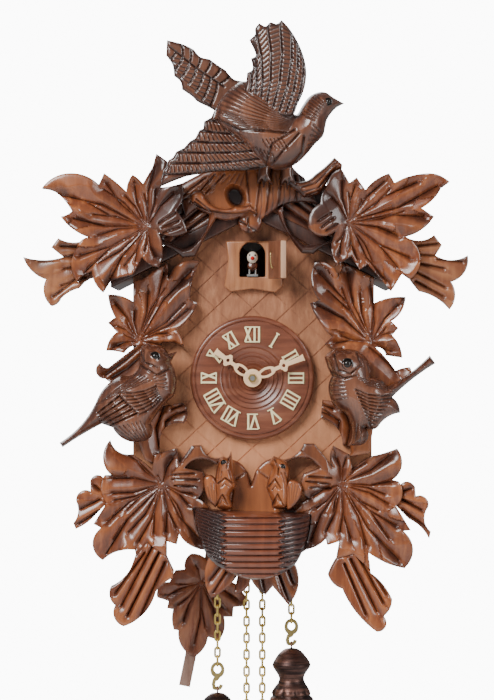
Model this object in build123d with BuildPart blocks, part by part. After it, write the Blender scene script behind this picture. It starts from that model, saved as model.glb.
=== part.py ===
from build123d import *
import math
import os

os.makedirs("parts", exist_ok=True)

# A carved cuckoo clock that hangs on a wall. X is to the right, the front faces -Y, Z is up.
# The origin is the middle of the hanger hole, at the wall.

# ---- driving sizes, mm
DIAL_Z = -95.0          # middle of the dial, below the hanger hole
DIAL_R = 40.0           # standard 80 mm dial
DIAL_THICK = 7.0
CASE_HALF = 77.0        # half the width of the case
CASE_BOTTOM = -92.0     # heights called w are measured up from the middle of the dial
BOARD = 8.0             # thickness of the case boards
PANEL_BACK = -80.0
PANEL_FRONT = -88.0
REAR = -6.0             # rear edge of the side boards
PEAK_W = 103.5          # inside of the roof ridge
ROOF_SLOPE = 0.503
ROOF_THICK = 9.0
ROOF_FRONT = -98.0
EAVE_HALF = 91.0
SCORE_PITCH = 22.5      # diamond pattern cut in the front panel
SCORE_ANGLE = 43.0
HANGER_HOLE_R = 3.5
ARCH_HALF = 8.3         # doorway of the bird
ARCH_LOW = 65.0
ARCH_SPRING = 79.4
ARBOR_R = 1.5
FIT = 0.05              # radial clearance of a running fit
TUBE_R = 3.0
MOTION_C = 12.5         # centre distance of the wheels behind the dial
DOOR_HINGE_X = 13.4
DOOR_W = 19.5
DOOR_OPEN = 115.0
PIVOT_W = 18.0          # pendulum pivot
SWING = 11.4
LINK_PITCH = 5.5
WIRE_R = 0.45
TIME_X = -13.4          # chain wheel axes
STRIKE_X = 16.2
CHAIN_R = 9.6
CHAIN_W = -18.0
CHAIN_Y = -50.0


def front(y, w=0.0, x=0.0):
    return Plane(origin=(x, y, DIAL_Z + w), x_dir=(1, 0, 0), z_dir=(0, -1, 0))


def loop(points):
    """Closed edge: each corner carries the height of the bow of the side that follows it."""
    for i, (x, w, bow) in enumerate(points):
        x2, w2, _ = points[(i + 1) % len(points)]
        if abs(bow) < 0.01:
            Line((x, w), (x2, w2))
        else:
            SagittaArc((x, w), (x2, w2), bow)


def face_of(points):
    with BuildSketch(mode=Mode.PRIVATE) as blank:
        with BuildLine():
            loop(points)
        make_face()
    return blank.sketch


# ---- outlines of the carvings: x, w, bow
CROWN_LEAF_LEFT = [
    (-133.5, 120.5, 2.5), (-115.5, 130, 2), (-97.5, 123, 0), (-94, 130, 0.5), (-80, 118.5, 1),
    (-76, 129, 0.5), (-69.5, 123.5, 0), (-63.5, 134, 0), (-61, 142.5, 0), (-54, 137.5, 0),
    (-58.5, 121, -0.5), (-45, 123.5, 2.5), (-48.5, 106.5, 1), (-41.5, 93, 2.5), (-59.5, 92.5, 2.5),
    (-59.5, 70.5, 1.5), (-70, 77, 0), (-76, 66, 0), (-90, 62.5, 0), (-95, 54.5, 1.5),
    (-102, 68, -1), (-111.5, 61.5, 3.5), (-111, 83.5, 1.5), (-103.5, 89.5, 2), (-121.5, 102.5, -0.5),
    (-114.5, 106, -1), (-125.5, 118.5, -0.5)]
CROWN_BUD_LEFT = [
    (-107.5, 88, 2), (-124, 89.5, 0), (-128.5, 83.5, 0), (-121, 77.5, 2), (-146.5, 77.5, -2.5),
    (-132, 63, -3), (-128.5, 46, -1), (-122.5, 51, 1), (-111, 57.5, -0.5), (-102.5, 69, 0),
    (-99.5, 82, 0)]
CROWN_LEAF_RIGHT = [
    (125, 124.5, -1.5), (112, 130, -1.5), (90, 124, 0), (86.5, 130, -1.5), (71.5, 119.5, 0),
    (66, 127.5, 0), (61.5, 124, 0), (56, 133, -2.5), (47, 121, -1), (43, 111, -3),
    (35.5, 95.5, -4), (52.5, 93, 0), (50, 85.5, -1), (53.5, 71.5, 0), (62.5, 77.5, 0),
    (68, 69, 0), (73, 72.5, 0), (88, 55.5, 0), (95, 66.5, 0), (100, 63, -5),
    (102.5, 85.5, -0.5), (96.5, 90, -2.5), (115, 102.5, 0), (107, 108, -1.5), (119.5, 120.5, 0)]
CROWN_BUD_RIGHT = [
    (99.5, 89.5, -2.5), (116, 91.5, 0), (121, 85, 0), (117, 78.5, -3), (137.5, 78.5, 4),
    (127, 61.5, 3), (126, 44, -2), (106.5, 55.5, 0.5), (97, 69, 0), (96, 83, 0)]
SIDE_LEAF_LEFT = [
    (-54.5, 73.5, 0), (-54, 63.5, 5), (-33.5, 75, -2), (-40, 50.5, 0), (-35.5, 48, 2),
    (-49, 31, 1), (-44, 20.5, -2.5), (-71, 20, -2.5), (-82.5, 16, -0.5), (-93.5, 17.5, 1.5),
    (-87, 29.5, 0), (-92.5, 35.5, 0), (-88, 39, 1), (-92.5, 53.5, 1.5), (-76.5, 49, 0),
    (-76, 62.5, -1.5), (-64.5, 68, 0)]
SIDE_LEAF_RIGHT = [
    (78, 48, 1.5), (98, 52, 2.5), (89, 36.5, 0), (93.5, 32, 0), (89.5, 27.5, 1.5),
    (96, 13, 0), (86, 14.5, -3), (76.5, 18.5, -1.5), (52, 18.5, 0), (46.5, 22, 0),
    (51, 26.5, 1.5), (37, 48, 0), (43, 50, 3.5), (40, 74, 4.5), (55, 63.5, 0),
    (56.5, 73, 3.5), (78, 63.5, 0)]
LOWER_LEAF_LEFT = [
    (-91.5, -40, -3.5), (-77.5, -49, 0.5), (-64.5, -59, 0), (-62.5, -49, 0), (-48.5, -45, 0),
    (-47, -54.5, 0), (-39, -43.5, 0), (-33, -43, -4), (-19, -50.5, 0), (-23, -55.5, -5),
    (-43.5, -57.5, 0), (-32, -60, 3.5), (-35.5, -77, 1), (-26.5, -84.5, 0), (-37.5, -84.5, -1.5),
    (-30.5, -110, 2.5), (-47, -100, 0), (-48.5, -106.5, 0), (-55, -104.5, 0), (-55, -114.5, 0),
    (-67.5, -105, 0), (-74.5, -114, 0), (-75.5, -110, -2.5), (-96, -117, 6), (-97, -96, 0),
    (-102, -93.5, 0), (-93.5, -80, 2.5), (-95, -62.5, 0), (-90, -62.5, 5)]
LOWER_LEAF_RIGHT = [
    (93, -45.5, 0.5), (76, -50.5, -0.5), (64, -59, 0), (62, -49, 0), (52, -43.5, -2),
    (51.5, -57, 0), (39.5, -42, 0), (33, -42, 4), (15, -52, 0), (20, -55.5, 6),
    (43, -57.5, 0), (33, -61.5, -4), (37.5, -77.5, -1.5), (26.5, -86, 0), (37.5, -87.5, 1),
    (33.5, -110, -1.5), (47, -103, 0), (48, -107, 0), (56, -104.5, 0), (54, -115.5, 0),
    (64.5, -112.5, 0), (75, -122.5, 0), (74.5, -112, -1.5), (97.5, -122, -6), (96.5, -98, 0),
    (101.5, -97.5, 0), (92, -82, -3), (94, -66.5, 0), (89.5, -65.5, -4.5)]
OUTER_BUD_LEFT = [
    (-93.5, -80.5, 1), (-95.5, -66, -4.5), (-104, -68, 0), (-104, -73.5, -4), (-113, -79.5, 2),
    (-115, -93, 0), (-113.5, -97, -1), (-100.5, -87.5, 0)]
OUTER_BUD_RIGHT = [
    (92.5, -82.5, -1), (95, -69.5, 3), (104.5, -70, 0), (105, -76.5, 4), (112.5, -83.5, -3),
    (114.5, -98.5, 0), (113.5, -103, -1.5), (100.5, -90.5, 0)]
TAIL_LEFT = [
    (-74.5, -112, 0), (-76.5, -117.5, 2.5), (-91, -134, -2), (-88, -145.5, -3.5), (-82.5, -159, -4),
    (-62, -137, 1), (-51, -128, 0), (-50.5, -124, 0), (-55, -114.5, 0), (-66, -104, 0)]
TAIL_RIGHT = [
    (54.5, -115, -0.5), (48.5, -126.5, -1.5), (57.5, -135, -2.5), (79.5, -162.5, -4), (84, -152.5, -1.5),
    (89.5, -141.5, -1.5), (76, -125.5, 0), (75, -117, 0), (64.5, -108, 0)]
BRANCH_LEFT = [
    (-70, 24, 0), (-92, 7, 1.5), (-98, 9.5, -4), (-94.5, -0.5, 0), (-88, -5, 0),
    (-80, -8, 0), (-74, -38, 0), (-70, -50, -4), (-60, -50, 0), (-59.5, -38.5, 4),
    (-44, -29, -2.5), (-44.5, -16, 0), (-57.5, -18, 0), (-60, 10, 0), (-58, 24, 0)]
BRANCH_RIGHT = [
    (74, 24, 1), (92, 4.5, 0.5), (101, 7, 0), (102, 4, 2), (89.5, -4.5, 0),
    (80, -14, 0), (75, -48, 0), (62, -50, -3), (58, -43, -4), (44, -25.5, 0),
    (45, -14, 0), (59.5, -15.5, 0), (58, 10, 0), (58, 24, 0)]
SIDE_BIRD_LEFT = [
    (-71, 18, 2.5), (-64, 21, 2), (-53.5, 15.5, 0), (-48, 17, 0), (-52, 10.5, 2.5),
    (-50, -11, -1), (-65, -29, 2), (-66.5, -39, 5), (-89, -31.5, 0), (-96, -29, -0.5),
    (-121, -44, 0), (-123, -41, -3), (-98.5, -12.5, 2), (-83.5, 2, -4), (-72, 10.5, 0)]
SIDE_BIRD_RIGHT = [
    (46, 13.5, 2.5), (58.5, 18.5, 6.5), (75, 1, 2), (86, -5.5, -1.5), (113, 14.5, 0),
    (116.5, 9.5, -1), (89, -12, 1.5), (94, -22, -1.5), (81, -29.5, 2.5), (71.5, -31, 4),
    (68, -43, 0), (61, -43, -3.5), (58.5, -21.5, 5.5), (50.5, 1.5, 0.5)]
NEST = [(-38, -83, 0), (37, -87, 2.5), (29, -117, 3), (11, -127, 4), (-13, -124, 6)]
NEST_BOARD = [
    (-19.5, -92, 0), (-19.5, -59, 0), (-14, -52.5, 2), (-3, -61.5, 0), (-1, -69, 0),
    (1.5, -61.5, 2.5), (15, -51.5, 0), (21, -59, 0), (21, -92, 0)]
SPRIG = [
    (-26, -112, -4.5), (-26.5, -141.5, -1.5), (-9.5, -127, 0), (-12, -139, -2.5), (-1, -129.5, -1),
    (8.5, -139.5, 0), (13, -134, 0), (23, -146, -5), (26.5, -118, 0), (22, -94, 0),
    (-22, -94, 0)]
PENDULUM_LEAF = [
    (-41, -118.5, 4.5), (-27, -132, 0), (-11.5, -138.5, 0), (-3, -148.5, 0), (-3.5, -153, 0),
    (-12.5, -154, 0), (-13, -160.5, 0), (-19, -160.5, 2), (-22, -176, 0), (-29.5, -174, 2),
    (-39, -187.5, 3.5), (-49.5, -169.5, 0), (-52.5, -169, 1), (-53, -155.5, 0), (-57, -154.5, 0),
    (-56, -150, 0), (-63.5, -147.5, 3.5), (-55.5, -137.5, 0), (-51.5, -129.5, 0), (-45, -129, 2)]
CROWN_BOARD = [
    (-55, 119.5, 0), (-31, 132, 1.5), (-6.5, 138.5, 0), (23.5, 138.5, -1), (33, 128.5, 0),
    (42.5, 110.5, -2.5), (17.5, 110, 0), (6, 101.5, 3.5), (-3, 93, 3.4), (-8, 103, 2),
    (-24.5, 103, 0), (-36, 108.5, 0), (-43, 102.5, 0), (-45.5, 113, 0)]
CROWN_SWAG = [
    (-39, 116.5, 3.5), (-30, 115, -4), (-10.5, 109.5, -1), (-1.5, 111, 0), (3.5, 104.5, 0),
    (-1.5, 106, 1), (-20.5, 105, 1.5), (-39, 112, 0)]
TWIG_LEFT = [
    (-62, 92, -0.5), (-44.5, 82.5, -5.5), (-28, 107, 0), (-22, 104, -0.5), (-36.5, 78, 0),
    (-44.5, 77, -1), (-62, 87.5, 0)]
TWIG_RIGHT = [
    (56, 92, 2), (33, 85, 4), (20, 111, 0), (15.5, 107, -1.5), (31.5, 80, 0),
    (39, 79.5, 1.5), (56, 88, 0)]
PERCH = [
    (19, 131.5, -5.5), (39.5, 129.5, -0.5), (52, 140.5, 0), (57, 136, 2.5), (49, 126.5, 0),
    (42, 117, 0), (32.5, 115, -1), (17, 126.5, 0)]
WING_LEFT = [
    (-6, 187.5, -1.5), (-18, 195.5, -2), (-28, 202, -3), (-38, 208, -2.5), (-54.5, 214, 0),
    (-55, 203.5, 1.5), (-50, 190.5, 2.5), (-45, 182, 1), (-35.5, 175.5, -1.5), (-24, 168.5, 2),
    (-16.5, 180, 0)]
WING_RIGHT = [
    (-4, 178, 0), (-4, 190.5, 0), (0, 193, 0), (-1, 199.5, 0), (2.5, 202, 0),
    (-2.5, 211, 0), (1.5, 214.5, 1.5), (4, 221.5, 0), (7.5, 220, 2.5), (15, 221.5, 0),
    (18, 224, 4.5), (33.5, 191.5, 3), (25.5, 167, 0), (6, 168, 0)]
BIRD_TAIL = [
    (-58, 120.5, 0), (-53, 137, 0), (-39.5, 149, 0), (-33.5, 156, 0), (-24, 168.5, 0),
    (-16, 168.5, 0), (-8, 132, -1), (-39.5, 128.5, 0)]
PLAQUE = [
    (-17, 88, 0), (-15.5, 76.5, 0), (-18, 59, 0), (-14, 55.5, 0), (0, 57.5, 0),
    (14.5, 55, 0), (19.5, 59, 0), (18, 76.5, 0), (18, 88, 0)]

# ---- case
ridge = PEAK_W
eave = PEAK_W - ROOF_SLOPE * EAVE_HALF
wall_top = PEAK_W - ROOF_SLOPE * CASE_HALF
tall = ROOF_THICK * math.sqrt(1 + ROOF_SLOPE ** 2)
UNDER_ROOF = [(-160, PEAK_W - 160 * ROOF_SLOPE, 0), (0, PEAK_W, 0), (160, PEAK_W - 160 * ROOF_SLOPE, 0),
              (160, 160, 0), (-160, 160, 0)]
ARCH = [(-ARCH_HALF, ARCH_LOW, 0), (-ARCH_HALF, ARCH_SPRING, ARCH_HALF), (ARCH_HALF, ARCH_SPRING, 0),
        (ARCH_HALF, ARCH_LOW, 0)]

with BuildPart() as front_panel:
    with BuildSketch(front(PANEL_BACK)):
        with BuildLine():
            loop([(-CASE_HALF, CASE_BOTTOM, 0), (-CASE_HALF, wall_top, 0), (0, ridge, 0),
                  (CASE_HALF, wall_top, 0), (CASE_HALF, CASE_BOTTOM, 0)])
        make_face()
        Circle(6.0, mode=Mode.SUBTRACT)
        add(face_of(ARCH), mode=Mode.SUBTRACT)
    extrude(amount=PANEL_BACK - PANEL_FRONT)
    # scored diamonds
    with BuildSketch(front(PANEL_FRONT)) as score:
        for side in (-1, 1):
            for k in range(-6, 7):
                angle = side * SCORE_ANGLE
                shift = k * SCORE_PITCH * math.cos(math.radians(SCORE_ANGLE))
                dx = -shift * math.sin(math.radians(angle))
                dz = shift * math.cos(math.radians(angle))
                with Locations(Location((dx, dz, 0), angle)):
                    Rectangle(320, 0.7)
    extrude(amount=-0.6, mode=Mode.SUBTRACT)
front_panel.part.label = "front_panel"
export_step(front_panel.part, "parts/front_panel.step")

for side, name in ((-1, "side_left"), (1, "side_right")):
    with BuildPart() as side_board:
        with BuildSketch(front(REAR)):
            inner = side * (CASE_HALF - BOARD)
            outer = side * CASE_HALF
            with BuildLine():
                loop([(inner, CASE_BOTTOM, 0), (inner, PEAK_W - ROOF_SLOPE * (CASE_HALF - BOARD), 0),
                      (outer, wall_top, 0), (outer, CASE_BOTTOM, 0)])
            make_face()
        extrude(amount=REAR - PANEL_BACK)
        # sound holes in the side wall
        with BuildSketch(Plane(origin=(outer, -43, DIAL_Z + 10), x_dir=(0, 1, 0), z_dir=(side, 0, 0))):
            with GridLocations(0, 9, 1, 5):
                SlotOverall(26, 3)
        extrude(amount=-BOARD, mode=Mode.SUBTRACT)
    side_board.part.label = name
    export_step(side_board.part, f"parts/{name}.step")

TIME_LEFT = TIME_X - CHAIN_R
TIME_RIGHT = TIME_X + CHAIN_R
STRIKE_LEFT = STRIKE_X - CHAIN_R
STRIKE_RIGHT = STRIKE_X + CHAIN_R
with BuildPart() as bottom_board:
    with BuildSketch(Plane.XY.offset(DIAL_Z + CASE_BOTTOM)):
        with Locations((0, (REAR + PANEL_BACK) / 2)):
            Rectangle(2 * (CASE_HALF - BOARD), REAR - PANEL_BACK)
        with Locations((0, -28)):
            Rectangle(62, 18, mode=Mode.SUBTRACT)
        with Locations(*[(x, CHAIN_Y) for x in (TIME_LEFT, TIME_RIGHT, STRIKE_LEFT, STRIKE_RIGHT)]):
            Circle(4.2, mode=Mode.SUBTRACT)
    extrude(amount=BOARD)
bottom_board.part.label = "bottom_board"
export_step(bottom_board.part, "parts/bottom_board.step")

for side, name in ((-1, "roof_left"), (1, "roof_right")):
    with BuildPart() as roof:
        with BuildSketch(front(-2)):
            with BuildLine():
                loop([(0, ridge, 0), (0, ridge + tall, 0), (side * EAVE_HALF, eave + tall, 0),
                      (side * EAVE_HALF, eave, 0)])
            make_face()
        extrude(amount=-2 - ROOF_FRONT)
    roof.part.label = name
    export_step(roof.part, f"parts/{name}.step")

with BuildPart() as back_rail:
    with BuildSketch(front(-2)):
        with BuildLine():
            loop([(-CASE_HALF + BOARD, 62, 0), (-CASE_HALF + BOARD, PEAK_W - ROOF_SLOPE * 69, 0),
                  (0, PEAK_W, 0), (CASE_HALF - BOARD, PEAK_W - ROOF_SLOPE * 69, 0),
                  (CASE_HALF - BOARD, 62, 0)])
        make_face()
        with Locations((0, -DIAL_Z - 3)):
            Circle(8.0, mode=Mode.SUBTRACT)
    extrude(amount=10)
    # clears the screws of the hanger plate
    with BuildSketch(front(-2, 79)):
        with Locations((-9, 0), (9, 0)):
            Circle(1.0)
    extrude(amount=7, mode=Mode.SUBTRACT)
back_rail.part.label = "back_rail"
export_step(back_rail.part, "parts/back_rail.step")

with BuildPart() as hanger_plate:
    with BuildSketch(front(0, 90)):
        RectangleRounded(28, 30, 4)
        with Locations((0, -DIAL_Z - 90)):
            Circle(HANGER_HOLE_R, mode=Mode.SUBTRACT)
    extrude(amount=2)
    # two screws, drawn in one with the plate
    with BuildSketch(front(0.8, 79)):
        with Locations((-9, 0), (9, 0)):
            Circle(2.2)
    extrude(amount=0.8)
    with BuildSketch(front(-2, 79)):
        with Locations((-9, 0), (9, 0)):
            Circle(1.0)
    extrude(amount=6)
hanger_plate.part.label = "hanger_plate"
export_step(hanger_plate.part, "parts/hanger_plate.step")

with BuildPart() as rear_cover:
    with BuildSketch(front(-2)):
        with Locations((0, -12)):
            Rectangle(146, 144)
        with Locations((-60, -12)):
            Circle(6, mode=Mode.SUBTRACT)
        with GridLocations(0, 8, 1, 5):
            SlotOverall(50, 3, mode=Mode.SUBTRACT)
    extrude(amount=3.5)
rear_cover.part.label = "rear_cover"
export_step(rear_cover.part, "parts/rear_cover.step")


# ---- carvings on the roof and the front
def carved(name, layers):
    """A carving cut from flat stock: each layer is outline, rear y, front y and outlines taken away."""
    with BuildPart() as piece:
        for outline, rear, fore, away in layers:
            with BuildSketch(front(rear)):
                add(face_of(outline))
                for other in away:
                    add(face_of(other), mode=Mode.SUBTRACT)
            extrude(amount=rear - fore)
    piece.part.label = name
    export_step(piece.part, f"parts/{name}.step")
    return piece.part


CROWN_BACK = ROOF_FRONT
CROWN_MID = ROOF_FRONT - 8
CROWN_FRONT = ROOF_FRONT - 24
with BuildPart() as crown_board:
    with BuildSketch(front(CROWN_BACK)):
        add(face_of(CROWN_BOARD))
        add(face_of(TWIG_LEFT))
        add(face_of(TWIG_RIGHT))
        with Locations(Location((-11, 116, 0), 25)):
            Ellipse(4.2, 3.7, mode=Mode.SUBTRACT)
    extrude(amount=CROWN_BACK - CROWN_MID)
    for outline, rear, fore, away in ((CROWN_SWAG, CROWN_MID, CROWN_MID - 9, []),
                                      (PERCH, CROWN_MID, CROWN_MID - 11, [CROWN_LEAF_RIGHT])):
        with BuildSketch(front(rear)):
            add(face_of(outline))
            for other in away:
                add(face_of(other), mode=Mode.SUBTRACT)
        extrude(amount=rear - fore)
crown_board.part.label = "crown_board"
export_step(crown_board.part, "parts/crown_board.step")
carved("crown_leaf_left", [(CROWN_LEAF_LEFT, CROWN_MID, CROWN_FRONT, []),
                           (CROWN_BUD_LEFT, CROWN_BACK, CROWN_MID, []),
                           ([(-101, 62, 0), (-101, 84, 0), (-84, 84, 0), (-84, 66, 0)],
                            CROWN_BACK, CROWN_MID, [])])
carved("crown_leaf_right", [(CROWN_LEAF_RIGHT, CROWN_MID, CROWN_FRONT, []),
                            (CROWN_BUD_RIGHT, CROWN_BACK, CROWN_MID, []),
                            ([(98, 62, 0), (98, 84, 0), (84, 84, 0), (84, 66, 0)],
                             CROWN_BACK, CROWN_MID, [])])
carved("side_leaf_left", [(SIDE_LEAF_LEFT, PANEL_FRONT, PANEL_FRONT - 16, [UNDER_ROOF]),
                          (BRANCH_LEFT, PANEL_FRONT, PANEL_FRONT - 16, [LOWER_LEAF_LEFT])])
carved("side_leaf_right", [(SIDE_LEAF_RIGHT, PANEL_FRONT, PANEL_FRONT - 16, [UNDER_ROOF]),
                           (BRANCH_RIGHT, PANEL_FRONT, PANEL_FRONT - 16, [LOWER_LEAF_RIGHT])])
carved("side_bird_left", [(SIDE_BIRD_LEFT, PANEL_FRONT - 16, PANEL_FRONT - 36, [])])
carved("side_bird_right", [(SIDE_BIRD_RIGHT, PANEL_FRONT - 16, PANEL_FRONT - 36, [])])
lower_away = [NEST, NEST_BOARD]
lower_left = carved("lower_leaf_left", [(LOWER_LEAF_LEFT, PANEL_FRONT, PANEL_FRONT - 16, lower_away),
                                        (TAIL_LEFT, PANEL_FRONT, PANEL_FRONT - 14, []),
                                        (OUTER_BUD_LEFT, PANEL_FRONT, PANEL_FRONT - 10, [])])
lower_right = carved("lower_leaf_right", [(LOWER_LEAF_RIGHT, PANEL_FRONT, PANEL_FRONT - 16, lower_away),
                                          (TAIL_RIGHT, PANEL_FRONT, PANEL_FRONT - 14, []),
                                          (OUTER_BUD_RIGHT, PANEL_FRONT, PANEL_FRONT - 10, [])])
carved("nest_board", [(NEST_BOARD, PANEL_FRONT, PANEL_FRONT - 6, []),
                      (SPRIG, PANEL_FRONT, PANEL_FRONT - 6, [LOWER_LEAF_LEFT, LOWER_LEAF_RIGHT])])
NEST_BACK = PANEL_FRONT - 6
NEST_FRONT = PANEL_FRONT - 38
with BuildPart() as nest:
    with BuildSketch(front(NEST_BACK)):
        add(face_of(NEST))
    with BuildSketch(front(NEST_FRONT, -88)):
        with Locations((0, -9)):
            RectangleRounded(44, 16, 7)
    loft()
    # ribs cut round the front of the basket
    for k in range(8):
        with BuildSketch(Plane.XY.offset(DIAL_Z - 90 - k * 4.2)):
            with Locations((0, NEST_FRONT - 1)):
                Rectangle(60, 8.0 - 0.2 * k)
        extrude(amount=1.2, mode=Mode.SUBTRACT)
nest.part.label = "nest"
export_step(nest.part, "parts/nest.step")

for side, name in ((-1, "chick_left"), (1, "chick_right")):
    x = side * 16.2 + 0.2
    with BuildPart() as chick:
        with BuildSketch(Plane.XY.offset(DIAL_Z - 84.5)):
            with Locations((x, NEST_BACK - 10)):
                Ellipse(7.6, 8.0)
        with BuildSketch(Plane.XY.offset(DIAL_Z - 72)):
            with Locations((x, NEST_BACK - 9)):
                Ellipse(7.2, 7.4)
        with BuildSketch(Plane.XY.offset(DIAL_Z - 61)):
            with Locations((x, NEST_BACK - 8)):
                Ellipse(3.6, 4.0)
        loft()
        with Locations((x, NEST_BACK - 9, DIAL_Z - 57)):
            Sphere(5.6)
        beak = Plane(origin=(x - side * 2, NEST_BACK - 11, DIAL_Z - 53), z_dir=(-side * 0.3, -0.3, 1))
        with BuildSketch(beak):
            Circle(2.6)
        extrude(amount=5.5, taper=18)
        with BuildSketch(front(NEST_BACK, 0, 0)):
            with Locations((x, -78)):
                Ellipse(5.5, 8)
        extrude(amount=8)
        # seated on the nest and against the leaf beside it
        for other in (nest.part, lower_left, lower_right):
            add(other, mode=Mode.SUBTRACT)
    chick.part.label = name
    export_step(chick.part, f"parts/{name}.step")

# ---- the large bird on the crown
BIRD_Y = -134.0


with BuildPart() as crown_bird:
    lie = Plane(origin=(-24, BIRD_Y, DIAL_Z + 160), x_dir=(1, 0, 0.06), z_dir=(0, -1, 0))
    with BuildSketch(lie):
        with BuildLine():
            loop([(0, 0, 0), (0, 4, 9), (44, 20, 4), (70, 10, 0), (70, 0, 0)])
        make_face()
    revolve(axis=Axis(lie.origin, lie.x_dir))
    with Locations((43, BIRD_Y, DIAL_Z + 172.5)):
        Sphere(10.5)
    with BuildSketch(Plane(origin=(49, BIRD_Y, DIAL_Z + 171.5), x_dir=(0, 1, 0), z_dir=(1, 0, 0))):
        Circle(4.0)
    extrude(amount=8.5, taper=23)
    # legs down to the crown board
    with BuildSketch(front(CROWN_MID)):
        with Locations((10, 131), (24, 131)):
            Rectangle(6, 10)
    extrude(amount=24)
    with BuildSketch(front(-126)):
        add(face_of(BIRD_TAIL))
    extrude(amount=10)
    add(crown_board.part, mode=Mode.SUBTRACT)
crown_bird.part.label = "crown_bird"
export_step(crown_bird.part, "parts/crown_bird.step")

for name, outline, rear, fore in (("crown_wing_left", WING_LEFT, -119, -125),
                                  ("crown_wing_right", WING_RIGHT, -140, -146)):
    with BuildPart() as feathers:
        with BuildSketch(front(rear)):
            add(face_of(outline))
        extrude(amount=rear - fore)
        add(crown_bird.part, mode=Mode.SUBTRACT)
    feathers.part.label = name
    export_step(feathers.part, f"parts/{name}.step")

# ---- dial and hands
with BuildPart() as dial:
    with BuildSketch(front(PANEL_FRONT)):
        Circle(DIAL_R)
        Circle(6.0, mode=Mode.SUBTRACT)
    extrude(amount=DIAL_THICK)
    rim = dial.edges().filter_by(GeomType.CIRCLE).group_by(Axis.Y)[0].sort_by(SortBy.LENGTH)[-1]
    fillet(rim, radius=2.5)
    with BuildSketch(front(PANEL_FRONT - DIAL_THICK)):
        for r in (8.2, 10.9, 13.6, 16.3, 35.6):
            Circle(r + 0.8)
            Circle(r - 0.4, mode=Mode.SUBTRACT)
            if r > 8.2 and r < 20:
                Circle(r - 1.9)
                Circle(r - 3.1, mode=Mode.SUBTRACT)
    extrude(amount=-0.7, mode=Mode.SUBTRACT)
dial.part.label = "dial"
export_step(dial.part, "parts/dial.step")

NUMERALS = ("XII", "I", "II", "III", "IIII", "V", "VI", "VII", "VIII", "IX", "X", "XI")
NUMERAL_H = 10.3
STROKE = 1.3
WIDTHS = {"I": 2.9, "V": 5.4, "X": 5.6}
with BuildPart() as numerals:
    with BuildSketch(front(PANEL_FRONT - DIAL_THICK)):
        for hour, text in enumerate(NUMERALS):
            turn = -30 * hour
            across = -sum(WIDTHS[c] for c in text) / 2
            span = 0.85 * sum(WIDTHS[c] for c in text)
            strokes = []
            for c in text:
                mid = across + WIDTHS[c] / 2
                across += WIDTHS[c]
                lean = math.degrees(math.atan(1.7 * (c == "V") / NUMERAL_H * 1.9))
                if c == "I":
                    strokes.append((mid, 0))
                if c == "V":
                    strokes += [(mid - 1.2, lean), (mid + 1.2, -lean)]
                if c == "X":
                    strokes += [(mid, 21), (mid, -21)]
            for mid, tilt in strokes:
                with Locations(Location((0, 0, 0), turn) * Location((mid, 28, 0), tilt)):
                    Rectangle(STROKE, NUMERAL_H / math.cos(math.radians(tilt)) - 0.9)
            with Locations(Location((0, 0, 0), turn) * Location((0, 28 + NUMERAL_H / 2 - 0.4, 0)),
                           Location((0, 0, 0), turn) * Location((0, 28 - NUMERAL_H / 2 + 0.4, 0))):
                Rectangle(span, 0.8)
    extrude(amount=0.8)
numerals.part.label = "numerals"
export_step(numerals.part, "parts/numerals.step")


def hand_face(length, flower, bore):
    with BuildSketch(mode=Mode.PRIVATE) as blank:
        Circle(5.8)
        with Locations((0, flower * 0.46)):
            Ellipse(3.3, flower * 0.28)
            Ellipse(1.7, flower * 0.19, mode=Mode.SUBTRACT)
        with Locations((0, flower * 0.74)):
            Rectangle(2.4, 6.0)
        with Locations((0, flower)):
            Circle(3.0)
        with Locations((2.6, flower), (-2.6, flower)):
            Circle(1.5)
        Polygon((-1.2, flower), (-1.9, length - 1), (-2.4, length), (2.4, length), (1.9, length - 1),
                (1.2, flower), align=None)
        with Locations((0, flower)):
            Circle(1.1, mode=Mode.SUBTRACT)
        Circle(bore, mode=Mode.SUBTRACT)
    return blank.sketch


HOUR_Y = -97.5
MINUTE_Y = -99.7
HAND_THICK = 1.2
with BuildPart() as hour_hand:
    with BuildSketch(front(HOUR_Y)):
        add(hand_face(29.5, 19.4, TUBE_R), rotation=54)
    extrude(amount=HAND_THICK)
hour_hand.part.label = "hour_hand"
export_step(hour_hand.part, "parts/hour_hand.step")
with BuildPart() as minute_hand:
    with BuildSketch(front(MINUTE_Y)):
        add(hand_face(35.5, 21.6, ARBOR_R), rotation=-68)
    extrude(amount=HAND_THICK)
minute_hand.part.label = "minute_hand"
export_step(minute_hand.part, "parts/minute_hand.step")
with BuildPart() as hand_nut:
    with BuildSketch(front(MINUTE_Y - HAND_THICK)):
        RegularPolygon(2.9, 6)
        Circle(ARBOR_R, mode=Mode.SUBTRACT)
    extrude(amount=2.6)
hand_nut.part.label = "hand_nut"
export_step(hand_nut.part, "parts/hand_nut.step")


# ---- movement
def gear_face(teeth, module, start, bore):
    """Narrow straight-flanked clock teeth round a plain disc."""
    pitch = math.pi * module
    root = module * (teeth / 2 - 1.25)
    tip = module * (teeth / 2 + 0.7)
    with BuildSketch(mode=Mode.PRIVATE) as blank:
        Circle(root)
        with PolarLocations(0, teeth, start_angle=start):
            Polygon((root - 0.3, -0.24 * pitch), (tip, -0.09 * pitch), (tip, 0.09 * pitch),
                    (root - 0.3, 0.24 * pitch), align=None)
        if bore > 0:
            Circle(bore, mode=Mode.SUBTRACT)
    return blank.sketch


PLATE_FRONT_Y = -70.0
PLATE_BACK_Y = -34.0
PLATE_T = 2.0
ESCAPE_W = 33.0
ESCAPE_R = 8.85         # tooth tips, clear of the pallets
FINE_R = 1.2
HAMMER_X = 30.0
HAMMER_W = -6.0
STUD_W = -MOTION_C


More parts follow.
